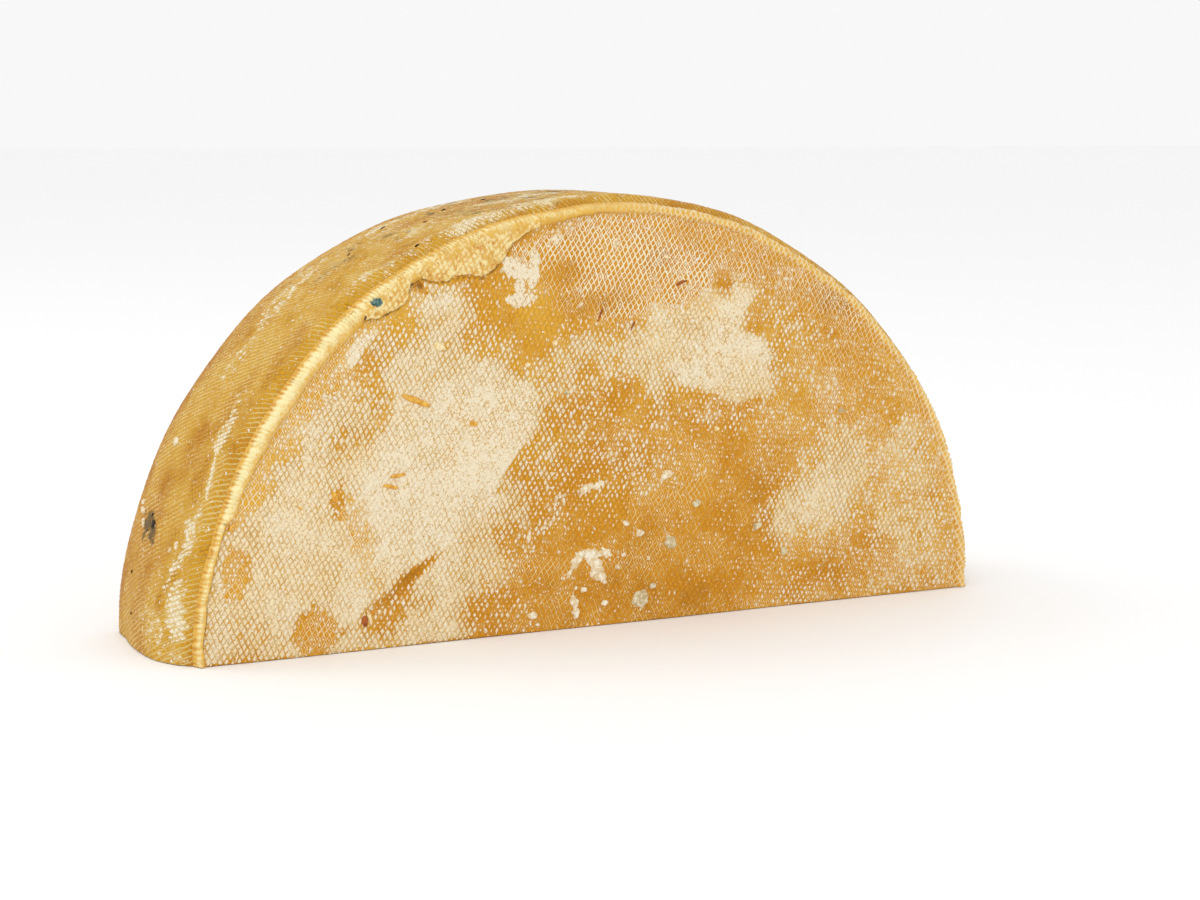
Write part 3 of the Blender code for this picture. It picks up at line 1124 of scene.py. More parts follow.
TORN_LOBES = (
    Lobe(
        "torn_flap_lower",
        (46.8, 48.7, 50.5, 52.9, 54.3, 55.6, 56.9, 57.5),
        (3.4, 4.4, 7.2, 8.4, 8.9, 6.9, 3.8, 2.2),
    ),
    Lobe(
        "torn_flap_upper",
        (57.7, 58.1, 60.0, 61.9, 63.8, 64.9, 66.6, 68.5, 70.6, 71.9, 72.8, 75.9, 78.5),
        (2.2, 3.7, 8.9, 10.5, 11.2, 12.5, 14.5, 13.7, 12.2, 8.9, 7.0, 4.5, 2.6),
    ),
)
# How far the bead reaches over the front face, in mm
BEAD_WIDTH = Course(
    (0.0, 15.0, 17.2, 18.5, 30.0, 46.0, 60.0, 75.0, 85.0, 105.0, 125.0, 180.0),
    (1.8, 1.4, 1.2, 3.0, 4.4, 4.8, 4.4, 3.6, 2.8, 2.8, 3.0, 3.0),
)


def bead_width(turn: np.ndarray) -> np.ndarray:
    """Return how far the bead reaches over the front face, in metres."""
    return BEAD_WIDTH.at(np.degrees(turn)) * MM


@dataclass
class Rind:
    """The rind of both round faces and of the heel, as three sheets that meet in creases.

    The band is the strip of bare net beside the bead: its width in mm, how much of it is
    bare, the cream in its lines and how far its ground turns ochre.
    """

    wheel: Wheel
    net: ClothNet = FACE_NET
    heel_net: ClothNet = ClothNet((549.0, 237.0), (400.0, -380.0), sway=0.7 * MM)
    groove_depth: float = 0.22 * MM
    bloom_height: float = 0.14 * MM
    grain_height: float = 0.05 * MM
    bead_share: float = 0.55
    trough: float = 0.5 * MM
    back_margin: float = 7.0 * MM
    back_overlap: float = 0.6 * MM
    crease_start: tuple[float, float] = (-82.0, 20.5)
    crease_turn: float = 35.0
    band_width: Course = Course(
        (0, 12, 17, 25, 40, 52, 60, 90, 180), (1.5, 2, 9, 11, 12, 9, 4, 5, 6)
    )
    band_bare: Course = Course((0, 15, 20, 50, 60, 180), (0.2, 0.4, 1.0, 0.5, 0.4, 0.6))
    band_net: Course = Course((0, 60, 90), (0.60, 0.70, 0.66))
    band_ochre: Course = Course((0, 60, 90), (1.0, 0.6, 0.2))

    def lay(self, margin: Callable[[np.ndarray], np.ndarray | float], seed: int) -> Sheet:
        """Lay the net on a round face, from the cut out to a margin inside the bead's crest.

        Args:
            margin: Gives the margin in metres at angles in radians.
            seed: Seed of the cloth's sway.

        Returns:
            The grid.
        """

        def edge(x: np.ndarray, z: np.ndarray) -> np.ndarray:
            """Return the face's radius in the direction of each point."""
            turn = np.arctan2(np.maximum(z, 0.0), -x)
            return self.wheel.rim(turn) - margin(turn)

        def inside(x: np.ndarray, z: np.ndarray) -> np.ndarray:
            """Say which points are above the cut and within the edge."""
            return (z > 0.0) & (np.hypot(x, z) < edge(x, z))

        def snap(x: np.ndarray, z: np.ndarray) -> tuple[np.ndarray, np.ndarray]:
            """Move points in to the edge and up to the cut."""
            z = np.maximum(z, 0.0)
            shrink = np.minimum(edge(x, z) / np.maximum(np.hypot(x, z), MM), 1.0)
            return x * shrink, z * shrink

        reach = 1.05 * self.wheel.radius
        return self.net.grid((-reach, 0.0), (reach, reach), inside, snap, seed)

    def face(self, name: str, sheet: Sheet, y: np.ndarray, levels: Levels) -> bpy.types.Object:
        """Make a round face's piece and dress it.

        Args:
            name: Name of the piece and, turned about, of its finish.
            sheet: The face's grid.
            y: Places of its points along the wheel's axis.
            levels: Its paint.

        Returns:
            The piece.
        """
        piece = add_mesh(name, np.stack([self.wheel.middle + sheet.u, y, sheet.v], -1), sheet.faces)
        carry(piece, {"net_u": sheet.p, "net_v": sheet.q, **levels})
        across = (sheet.u / (1.05 * self.wheel.radius) + 1.0) * 0.5
        unwrap(piece, np.stack([across, sheet.v / self.wheel.radius], -1)[sheet.faces])
        finish = "_".join(reversed(name.split("_")))
        return attach(piece, RindFinish(finish).dress())

    def band(self, levels: Levels, turn: np.ndarray, inset: np.ndarray) -> None:
        """Paint the band beside the bead, and a painted shadow on the face along the torn flap's
        edge.

        Args:
            levels: Levels to change.
            turn: Angles of the points.
            inset: Distances from the bead's crest inwards, in metres.
        """
        angle = np.degrees(turn)
        width = self.band_width.at(angle)
        fray = cloudy(turn * self.wheel.radius, inset, 7.0 * MM, 71, 3)
        share = fall(inset / MM + 3.0 * fray, width * 0.7, width * 1.5) * self.band_bare.at(angle)
        reaches = (np.interp(angle, lobe.angles, lobe.reaches, 0.0, 0.0) for lobe in TORN_LOBES)
        torn = np.maximum(*reaches)
        # Painted shadow cast by the torn flap's lifted edge: a thin line of grime colour with less
        # bloom on the face beyond the edge
        flap_shadow = bell(inset / MM - torn, 0.2, 0.55) * (torn > 3.0)
        levels["grime_and_shade"] += 0.75 * flap_shadow
        levels["bloom"] -= 0.9 * flap_shadow
        levels["bloom"] += (0.12 - levels["bloom"]) * share
        levels["net"] += (self.band_net.at(angle) - levels["net"]) * share
        levels["tone"] += (0.12 - levels["tone"]) * share * self.band_ochre.at(angle)

    def front(self) -> bpy.types.Object:
        """Build the front face: a slow wave, the net's grooves, the bloom's thickness and grain.

        Returns:
            The piece.
        """
        wheel = self.wheel
        sheet = self.lay(lambda turn: self.bead_share * bead_width(turn), 5)
        x, z = sheet.u, sheet.v
        turn = np.arctan2(z, -x)
        inset = wheel.rim(turn) - np.hypot(x, z)
        levels = FACE_COAT.paint(x, z)
        self.band(levels, turn, inset)
        # The cut's edge shows as a thin darker line
        levels["bloom"] -= 0.5 * bell(z, 0.0, 0.5 * MM)
        bloom = levels["bloom"]
        outward = np.clip(np.hypot(x, z) / wheel.rim(turn), 0.0, 1.0)
        depth = -wheel.wave(x, z, outward) + self.trough * bell(inset, 6.0 * MM, 4.0 * MM)
        open_share = 1.0 - 0.8 * smooth(bloom, 0.70, 1.05)
        depth += self.groove_depth * self.net.groove(sheet.p, sheet.q) * open_share
        depth -= self.bloom_height * smooth(bloom, 0.5, 1.4)
        depth -= self.grain_height * cloudy(x, z, 1.3 * MM, 53, 2)
        depth += self.crease(x, z)
        return self.face("rind_front", sheet, wheel.front + depth, levels)

    def crease(self, x: np.ndarray, z: np.ndarray) -> np.ndarray:
        """Press in the brown crease: a narrow bell that wanders about a slanting line.

        Args:
            x: First coordinates in metres.
            z: Second coordinates in metres.

        Returns:
            Depths in metres.
        """
        turn = math.radians(self.crease_turn)
        du, dv = x / MM - self.crease_start[0], z / MM - self.crease_start[1]
        along = du * math.cos(turn) + dv * math.sin(turn)
        across = dv * math.cos(turn) - du * math.sin(turn) + 0.02 * along * np.sin(along)
        return 0.5 * MM * bell(across, 0.0, 1.2) * np.exp(-((along / 15.0) ** 4))

    def back(self) -> bpy.types.Object:
        """Build the back face, pressed by the same cloth, out to the heel's rounded corner.

        Returns:
            The piece.
        """
        wheel = self.wheel
        sheet = self.lay(lambda turn: self.back_margin - self.back_overlap, 15)
        x, z = sheet.u, sheet.v
        turn = np.arctan2(z, -x)
        inset = wheel.rim(turn) - np.hypot(x, z)
        levels = BACK_COAT.paint(x, z)
        levels["bloom"] -= 0.6 * fall(inset, 6.0 * MM, 20.0 * MM)
        outward = np.clip(np.hypot(x, z) / wheel.rim(turn), 0.0, 1.0)
        # The sheet dips a little at its edge, below the heel's corner
        depth = wheel.wave(x, z, outward)
        depth -= 0.3 * MM * fall(inset, self.back_margin, 2 * self.back_margin)
        open_share = 1.0 - 0.8 * smooth(levels["bloom"], 0.85, 1.15)
        depth -= self.groove_depth * self.net.groove(sheet.p, sheet.q) * open_share
        depth += self.grain_height * cloudy(x, z, 1.3 * MM, 89, 2)
        turned = Sheet(x, z, sheet.p, sheet.q, sheet.faces[:, ::-1])
        return self.face("rind_back", turned, wheel.front + wheel.thickness + depth, levels)

    def heel_profile(self) -> tuple[np.ndarray, np.ndarray, np.ndarray]:
        """Trace the heel from the bead's crease over the back corner onto the back face.

        Returns:
            Arc lengths, offsets from the crest and depths.
        """
        wheel = self.wheel
        corner = wheel.back_corner
        depth = np.linspace(3.0 * MM, wheel.thickness - corner, 120)
        offset = wheel.heel_offset(depth)
        turn = np.linspace(0.0, math.pi / 2, 24)[1:]
        depth = np.append(depth, wheel.thickness - corner + corner * np.sin(turn))
        offset = np.append(offset, offset[-1] - corner + corner * np.cos(turn))
        depth = np.append(depth, wheel.thickness)
        offset = np.append(offset, -self.back_margin)
        steps = np.hypot(np.diff(depth), np.diff(offset))
        return np.append(0.0, np.cumsum(steps)), offset, depth

    def heel(self) -> bpy.types.Object:
        """Build the heel: the profile carried along the rim, with the net's slanting lines.

        Returns:
            The piece.
        """
        wheel = self.wheel
        length, offset, depth = self.heel_profile()
        turns = np.linspace(0.0, math.pi, 721)
        radii = 0.5 * (wheel.rim(turns[1:]) + wheel.rim(turns[:-1]))
        girth = np.append(0.0, np.cumsum(radii * np.diff(turns)))
        far, wide = float(girth[-1]), float(length[-1])

        def inside(s: np.ndarray, w: np.ndarray) -> np.ndarray:
            """Say which points are on the strip."""
            return (s > 0.0) & (s < far) & (w > 0.0) & (w < wide)

        def snap(s: np.ndarray, w: np.ndarray) -> tuple[np.ndarray, np.ndarray]:
            """Move points onto the strip's edges."""
            return np.clip(s, 0.0, far), np.clip(w, 0.0, wide)

        sheet = self.heel_net.grid((0.0, 0.0), (far, wide), inside, snap, 25)
        s, w = sheet.u, sheet.v
        levels = HEEL_COAT.paint(s, w)
        # Greyer blots gather towards the top
        blots = smooth(cloudy(s, w, 5.0 * MM, 73, 4), 0.1, 0.9)
        levels["grime_and_shade"] += (0.14 + 0.26 * smooth(s, 90.0 * MM, 180.0 * MM)) * blots
        relief = -self.groove_depth * self.heel_net.groove(sheet.p, sheet.q, 0.45)
        relief += self.grain_height * 1.4 * cloudy(s, w, 1.6 * MM, 69, 2)
        relief -= 0.06 * MM
        relief *= smooth(w, 0.0, 1.2 * MM) * fall(w, wide - 3.0 * MM, wide)
        # The relief stands square to the profile
        slope_back, slope_out = np.gradient(depth, length), np.gradient(offset, length)
        out = np.interp(w, length, offset) + relief * np.interp(w, length, slope_back)
        back = np.interp(w, length, depth) - relief * np.interp(w, length, slope_out)
        turn = np.interp(s, girth, turns)
        points = wheel.point(turn, out + wheel.droop_at(turn, back), back)
        faces = sheet.faces[:, ::-1]
        piece = add_mesh("rind_heel", points, faces)
        carry(piece, {"net_u": sheet.p, "net_v": sheet.q, **levels})
        map_strip(piece, s / far, w / wide, faces, 3, 0.01)
        finish = RindFinish(
            "heel_rind",
            ochre=tint(207, 154, 38),
            orange=tint(191, 129, 27),
            pale_line=tint(224, 184, 72),
            lace=tint(236, 206, 112),
            cream=tint(240, 232, 206),
            warm_cream=tint(228, 204, 138),
            second_family=0.35,
            cell_fill=0.42,
            crease=0.74,
            line_width=0.24,
            line_cream=0.84,
            grime_and_shade=tint(86, 74, 46),
        )
        return attach(piece, finish.dress())


@dataclass
class EdgeBead:
    """The ribbed bead along the front edge.

    Its section runs from its foot under the face over its crest to the crease on the heel.
    The courses say, along the rim, how proud it is, how pale its crest is painted as a highlight,
    how deep its creases, how strong the notches on its heel side, how dark the painted shade at its
    foot is, and how dark the whole of it is.
    """

    wheel: Wheel
    steps: int = 1440
    steps_across: int = 24
    over_share: float = 0.55
    rib_pitch: float = 1.55 * MM
    rib_height: float = 0.30 * MM
    proud: Course = Course(
        (0, 17, 20, 46, 52, 74, 84, 92, 108, 180),
        (0.6, 0.6, 0.9, 0.9, 0.5, 0.5, 0.9, 0.9, 0.3, 0.25),
    )
    crest_highlight: Course = Course(
        (0, 16, 20, 45, 60, 80, 100, 180), (0.55, 0.6, 0.95, 0.9, 0.6, 0.45, 0.1, 0.1)
    )
    creasing: Course = Course((0, 60, 85, 105, 180), (1.0, 0.9, 0.5, 0.15, 0.15))
    notching: Course = Course((0, 17, 20, 46, 55, 180), (0.8, 0.8, 1.4, 1.3, 0.8, 0.8))
    foot_shade: Course = Course((0, 17, 20, 46, 50, 180), (1.0, 1.0, 0.1, 0.1, 1.0, 1.0))
    all_dark: Course = Course((0, 17, 20, 80, 100, 180), (0.14, 0.1, 0, 0.05, 0.32, 0.32))

    def section(
        self, turn: np.ndarray, share: np.ndarray, side: np.ndarray
    ) -> tuple[np.ndarray, np.ndarray]:
        """Trace the plain bead: a half ellipse over the face, then a slope under the heel.

        Args:
            turn: Angles in radians.
            share: Share of the way across the section.
            side: Share of the way down the heel side.

        Returns:
            Offsets from the crest and depths, in metres.
        """
        width = bead_width(turn)
        sway = cloudy(turn * self.wheel.radius, 0.0 * turn, 7.0 * MM, 95, 3)
        width = width * (1.0 + 0.16 * sway)
        bend = math.pi * np.clip(share / self.over_share, 0.0, 1.0)
        offset = -width * 0.5 * (1.0 + np.cos(bend)) - 0.6 * MM * fall(share, 0.0, 0.12)
        proud = self.wheel.bead_proud * self.proud.at(np.degrees(turn))
        depth = -proud * np.sin(bend) + 0.9 * MM * fall(share, 0.0, 0.15)
        offset = offset + side * 1.1 * MM - 0.9 * MM * smooth(side, 0.75, 1.0)
        return offset, depth + side * 3.9 * MM

    def build(self) -> bpy.types.Object:
        """Carry the section along the rim, with uneven ribs, lumps and notches square to it.

        Returns:
            The piece.
        """
        wheel = self.wheel
        turn = np.linspace(0.0, math.pi, self.steps + 1)[:, None]
        share = np.linspace(0.0, 1.0, self.steps_across + 1)[None, :]
        side = np.clip((share - self.over_share) / (1.0 - self.over_share), 0.0, 1.0)
        offset, depth = self.section(turn, share, side)
        arc = turn * wheel.radius
        wander = 0.9 * cloudy(arc, 0.0 * arc, 6.0 * MM, 91, 3)
        phase = FULL_TURN * (arc / self.rib_pitch + wander + 0.5 * share)
        rib = np.sin(phase)
        notch = bell(side, 0.55, 0.16) * smooth(np.sin(phase * 0.72), 0.2, 0.9)
        fade = np.sin(math.pi * np.clip(share, 0.0, 1.0)) ** 0.6
        uneven = 0.7 + 0.5 * cloudy(arc, share * 4.0 * MM, 3.0 * MM, 93, 2)
        lift = self.rib_height * rib * fade * uneven - 0.45 * MM * notch
        lift = lift + 0.42 * MM * cloudy(arc, share * 6.0 * MM, 4.4 * MM, 97, 3) * fade
        lean = 0.5 * math.pi * np.clip((share - 0.2) / 0.6, 0.0, 1.0)
        offset = offset + lift * np.sin(lean)
        depth = np.maximum(depth - lift * np.cos(lean), -wheel.bead_proud)
        points = wheel.point(np.broadcast_to(turn, offset.shape), offset, depth).reshape(-1, 3)
        faces = grid_faces(*offset.shape)
        piece = add_mesh("edge_bead", points, faces)
        levels = self.looks(turn, share, side, rib, notch)
        p, q = FACE_NET.counts(points[:, 0] - wheel.middle, points[:, 2])
        carry(piece, {name: level + 0.0 * offset for name, level in levels.items()})
        carry(piece, {"net_u": p, "net_v": q})
        along, across = ((part + 0.0 * offset).ravel() for part in (turn / math.pi, share))
        map_strip(piece, along, across, faces, 6)
        return attach(piece, BeadFinish("bead_wax").dress())

    def looks(
        self,
        turn: np.ndarray,
        share: np.ndarray,
        side: np.ndarray,
        rib: np.ndarray,
        notch: np.ndarray,
    ) -> Levels:
        """Work out the bead's paleness along its crest, a painted highlight, its creases, partly
        painted shade at its foot, its soot, which is painted shade in its cracks and creases, and
        its net print.

        Args:
            turn: Angles in radians.
            share: Share of the way across the section.
            side: Share of the way down the heel side.
            rib: Height of the ribs, from -1 to 1.
            notch: Depth of the notches, from 0 to 1.

        Returns:
            The levels of the points, by name.
        """
        arc, angle = turn * self.wheel.radius, np.degrees(turn)
        # The crest is painted pale as a highlight, dimmed in the ribs' valleys
        valley = 0.45 * smooth(-rib, -0.2, 0.9) * smooth(share, 0.2, 0.5)
        crest = bell(share, 0.50, 0.24) * (1.0 - valley) * self.crest_highlight.at(angle)
        creasing = self.creasing.at(angle)
        teeth = smooth(side, 0.05, 0.5) * fall(side, 0.75, 1.0) * smooth(-rib, -0.1, 0.9) * creasing
        teeth = teeth * (0.45 + 0.9 * cloudy(arc, share * 4.0 * MM, 3.4 * MM, 99, 3))
        crease = np.maximum(notch * 0.6 * creasing, 0.66 * teeth * self.notching.at(angle))
        crease = crease + 0.20 * (1.0 - rib) * (0.4 + side) * creasing
        shoulder = smooth(share, 0.52, 0.62) * fall(share, 0.70, 0.80)
        crease = crease + 0.10 * shoulder * smooth(angle, 17.0, 20.0) * fall(angle, 50.0, 58.0)
        # Painted shade along the foot, where the bead meets the face
        crease = crease + 0.45 * fall(share, 0.05, 0.30) * self.foot_shade.at(angle)
        crease = crease + self.all_dark.at(angle)
        # Painted shade in dark lines: in the crack along the low stretch's foot, at its end, under
        # the bead at the top and in the crease on its heel side above the flap
        crack = 1.2 * fall(share, 0.10, 0.20) * fall(angle, 16.6, 17.2) * smooth(angle, 0.5, 3.0)
        line = 0.45 * fall(share, 0.12, 0.20) * smooth(angle, 78.0, 82.0) * fall(angle, 88.0, 98.0)
        end = 0.6 * bell(angle, 17.4, 0.45) * smooth(-share, -0.9, -0.4)
        heel_crease_shade = bell(side, 0.72, 0.12) * smooth(angle, 53.0, 58.0) * fall(angle, 70.0, 84.0)
        soot = np.maximum(np.maximum(crack, line), np.maximum(end, 0.58 * heel_crease_shade))
        foot = 0.3 * fall(share, 0.20, 0.45) * smooth(angle, 17.0, 19.0) * fall(angle, 44.0, 48.0)
        foot = foot + 0.75 * smooth(angle, 84.0, 100.0)
        return {"crest": crest, "crease": crease, "soot": soot, "foot": foot}


@dataclass
class TornFlap:
    """Rind pressed over the face beside the bead and torn along its inner edge."""

    wheel: Wheel
    thickness: float = 1.0 * MM
    lobes: tuple[Lobe, ...] = TORN_LOBES
    step_degrees: float = 0.11

    def build(self) -> list[bpy.types.Object]:
        """Build both lobes.

        Returns:
            The pieces.
        """
        finish = BeadFinish("flap_wax", pale=tint(248, 228, 164), yellow=tint(230, 184, 90)).dress()
        pieces = [self.lobe(lobe, 110 + index) for index, lobe in enumerate(self.lobes)]
        return [attach(piece, finish) for piece in pieces]

    def lobe(self, lobe: Lobe, seed: int) -> bpy.types.Object:
        """Sweep a flat section whose length follows the torn edge.

        The section runs from the crest over the face to the torn edge and back beneath.

        Args:
            lobe: The lobe's outline.
            seed: Seed of its tears and wrinkles.

        Returns:
            The piece.
        """
        wheel = self.wheel
        first, last = lobe.angles[0], lobe.angles[-1]
        steps = int((last - first) / self.step_degrees)
        degrees = np.linspace(first, last, steps)[:, None]
        turn = np.radians(degrees)
        arc = turn * wheel.radius
        ends = smooth(degrees, first, first + 1.0) * smooth(-degrees, -last, -last + 1.0)
        tear = 0.55 * MM * cloudy(arc, 0.0 * arc, 2.4 * MM, seed, 3) * ends
        reach = np.interp(degrees, lobe.angles, lobe.reaches) * MM + tear
        across = np.linspace(0.0, 1.0, 40)[None, :]
        over = -reach * across
        swell = cloudy(arc, over, 4.0 * MM, seed + 5, 3)
        lump = cloudy(arc, over, 1.1 * MM, seed + 9, 2)
        pits = smooth(-cloudy(arc, over, 1.5 * MM, seed + 13, 2), 0.66, 1.05)
        # The cloth's print, frayed by the lumps
        x = -(wheel.radius + over) * np.cos(turn) + 0.5 * MM * lump
        z = (wheel.radius + over) * np.sin(turn) + 0.5 * MM * swell
        printed = FACE_NET.groove(*FACE_NET.counts(x, z))
        edge = 1.0 - smooth(across, 0.88, 1.0) ** 2
        lift = self.thickness * (0.80 + 0.30 * swell + 0.18 * lump) * (0.30 + 0.70 * edge)
        lift = lift - 0.18 * MM * printed - 0.25 * MM * pits
        lift = lift * (0.15 + 0.85 * smooth(over, 0.0, -2.2 * MM))
        lift = np.clip(lift, 0.10 * MM, wheel.bead_proud - 0.06 * MM) + 0.05 * MM
        upper = np.stack([over, -lift], -1)
        beneath = np.linspace(1.0, 0.0, 8)[None, 1:]
        under = -reach * (beneath * 0.98)
        lower = np.stack([under, 0.6 * MM * fall(beneath, 0.75, 1.0) - 0.12 * MM + 0.0 * under], -1)
        section = np.concatenate([upper, lower], axis=1)
        turns = np.broadcast_to(turn, section.shape[:2])
        points = wheel.point(turns, section[..., 0], section[..., 1])
        faces = grid_faces(steps, section.shape[1], closed=True)
        piece = add_mesh(lobe.name, points.reshape(-1, 3), faces[:, ::-1])
        # Paler on the swells and lumps and towards the torn edge, less pale in the print's grooves:
        # partly the rind's colour, partly painted light and shade of the relief
        crest = 0.56 + 0.34 * swell + 0.30 * lump - 0.50 * printed
        crest = crest + 0.30 * smooth(across, 0.84, 0.97)
        # Deeper in the print's grooves and the pits, partly their colour and partly painted shade,
        # and deepest on the torn edge's rim, a painted shade
        crease = 0.46 * printed - 0.10 * lump + 0.6 * pits + 0.9 * smooth(across, 0.965, 1.0)
        # Painted shade: a dark spot in the hole at 48.7 degrees, 4 mm in from the crest
        soot = 1.2 * bell(degrees, 48.7, 0.5) * bell(over / MM, -4.0, 1.0)
        # Each level with its value beneath: the underside is painted darker, as shade
        looks = {
            "crest": (crest, 0.2), "crease": (crease, 0.8), "soot": (soot, 0.2), "foot": (0.0, 0.0)
        }
        carry(piece, {
            name: np.concatenate([top + 0.0 * over, bottom + 0.0 * under], axis=1)
            for name, (top, bottom) in looks.items()
        })
        p, q = FACE_NET.counts(points[..., 0] - wheel.middle, points[..., 2])
        carry(piece, {"net_u": p, "net_v": q})
        return piece


@dataclass
class CutFace:
    """The cut paste that the half wheel stands on, with a few eyes.

    The eyes are spread over a stretch of the cut's right half, about a line behind the face.
    """

    wheel: Wheel
    inset: float = 0.25 * MM
    eye_seed: int = 11
    eye_count: int = 9
    eye_stretch: tuple[float, float] = (62.0 * MM, 122.0 * MM)
    eye_line: float = 13.0 * MM

    def eyes(self) -> np.ndarray:
        """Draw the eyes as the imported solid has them.

        Returns:
            Array of place along the cut, place across it, and half sizes.
        """
        draw = np.random.default_rng(self.eye_seed)
        eyes = []
        for place in np.linspace(*self.eye_stretch, self.eye_count):
            radius = draw.uniform(1.0 * MM, 2.2 * MM)
            half = (radius * draw.uniform(0.8, 1.4), radius * draw.uniform(0.8, 1.2))
            eyes.append((place, self.eye_line + draw.uniform(-6.0 * MM, 6.0 * MM), *half))
        return np.array(eyes)

    def build(self) -> bpy.types.Object:
        """Spread a grid over the cut: across it, rows run from the front rind to the back.

        Returns:
            The piece.
        """
        wheel = self.wheel
        corner = wheel.back_corner
        depths = np.linspace(self.inset, wheel.thickness - self.inset, 88)[:, None]
        share = np.linspace(-1.0, 1.0, 401)[None, :]
        offset = wheel.heel_offset(depths) * smooth(depths, 0.0, 3.0 * MM) - 0.8 * MM
        drop = np.clip((depths - (wheel.thickness - corner)) / corner, 0.0, 1.0)
        offset = offset - corner * (1.0 - np.sqrt(1.0 - drop ** 2))
        left, right = (
            (wheel.radius + offset + wheel.lumps(turn, 0.0) + wheel.droop_at(turn, depths))
            * wheel.rim(turn) / wheel.radius
            for turn in (np.zeros(1), np.full(1, math.pi))
        )
        x = wheel.middle + np.where(share < 0.0, share * left, share * right)
        y = wheel.front + depths + 0.0 * x
        z = 0.05 * MM + 0.0 * x
        for eye_x, eye_y, half_x, half_y in self.eyes():
            bowl = 1.0 - ((x - eye_x) / half_x) ** 2 - ((y - eye_y) / half_y) ** 2
            z = np.maximum(z, min(half_x, half_y) * np.sqrt(np.clip(bowl, 0.0, 1.0)))
        faces = grid_faces(*x.shape)[:, ::-1]
        piece = add_mesh("cut_paste", np.stack([x, y, z], -1).reshape(-1, 3), faces)
        edge_x = np.minimum(x - (wheel.middle - left), wheel.middle + right - x)
        edge_y = np.minimum(depths, wheel.thickness - depths) + 0.0 * x
        carry(piece, {"depth_in": np.minimum(edge_x, edge_y) / MM})
        flat = np.stack([(share + 1.0) * 0.5 + 0.0 * x, depths / wheel.thickness + 0.0 * x], -1)
        unwrap(piece, flat.reshape(-1, 2)[faces])
        return attach(piece, PasteFinish("cut_cheese").dress())


@dataclass(frozen=True)
class Bit:
    """One small lump on the rind: its place, half sizes and height in mm, its turn in degrees."""

    x: float
    y: float
    long: float
    wide: float
    turn: float = 0.0
    height: float = 0.5
    ragged: float = 0.42


@dataclass
class Bits:
    """Small lumps of one kind, lying on the front face or on the heel."""

    name: str
    finish: CrumbFinish
    rows: Sequence[tuple[float, ...]]
    seed: int
    on_heel: bool = False
    rings: int = 7
    spokes: int = 40

    def lump(self, bit: Bit, seed: int) -> tuple[np.ndarray, np.ndarray, np.ndarray]:
        """Shape a lump: a domed disc whose outline and top are frayed by noise.

        Args:
            bit: The lump.
            seed: Seed of its noise.

        Returns:
            First and second coordinates and heights of its points, in metres.
        """
        ring = np.linspace(0.0, 1.0, self.rings + 1)[:, None]
        spoke = np.linspace(0.0, FULL_TURN, self.spokes, endpoint=False)[None, :]
        fray = cloudy(3.0 + 1.6 * np.cos(spoke), 3.0 + 1.6 * np.sin(spoke), 1.0, seed, 4)
        reach = ring * (1.0 + bit.ragged * fray * ring)
        along, across = bit.long * reach * np.cos(spoke), bit.wide * reach * np.sin(spoke)
        turn = math.radians(bit.turn)
        u = bit.x + along * math.cos(turn) - across * math.sin(turn)
        v = bit.y + along * math.sin(turn) + across * math.cos(turn)
        top = bit.height * np.sqrt(np.clip(1.0 - ring ** 4, 0.0, 1.0))
        # The rim stays even, a little below the rind
        bumps = 1.0 + 0.35 * cloudy(u, v, 1.2, seed + 1, 2) * (ring < 0.99)
        return u * MM, v * MM, (top * bumps - 0.25 * ring ** 6) * MM

    def build(self, wheel: Wheel) -> bpy.types.Object:
        """Join the lumps into one piece on the wheel's surface.

        Args:
            wheel: The wheel that carries them.

        Returns:
            The piece.
        """
        faces = grid_faces(self.rings + 1, self.spokes, closed=True)
        points, quads = [], []
        for index, row in enumerate(self.rows):
            u, v, top = self.lump(Bit(*row), self.seed + 3 * index)
            if self.on_heel:
                turn = u / wheel.radius
                offset = wheel.heel_offset(v) + wheel.droop_at(turn, v)
                spots = wheel.point(turn, offset + top, v)
            else:
                outward = np.clip(np.hypot(u, v) / wheel.radius, 0.0, 1.0)
                y = wheel.front - top - wheel.wave(u, v, outward)
                spots = np.stack([wheel.middle + u, y, v], -1)
            quads.append(faces + len(points) * u.size)
            points.append(spots.reshape(-1, 3))
        corners = np.concatenate(quads)
        corners = corners if self.on_heel else corners[:, ::-1]
        piece = add_mesh(self.name, np.concatenate(points), corners)
        return attach(piece, self.finish.dress())


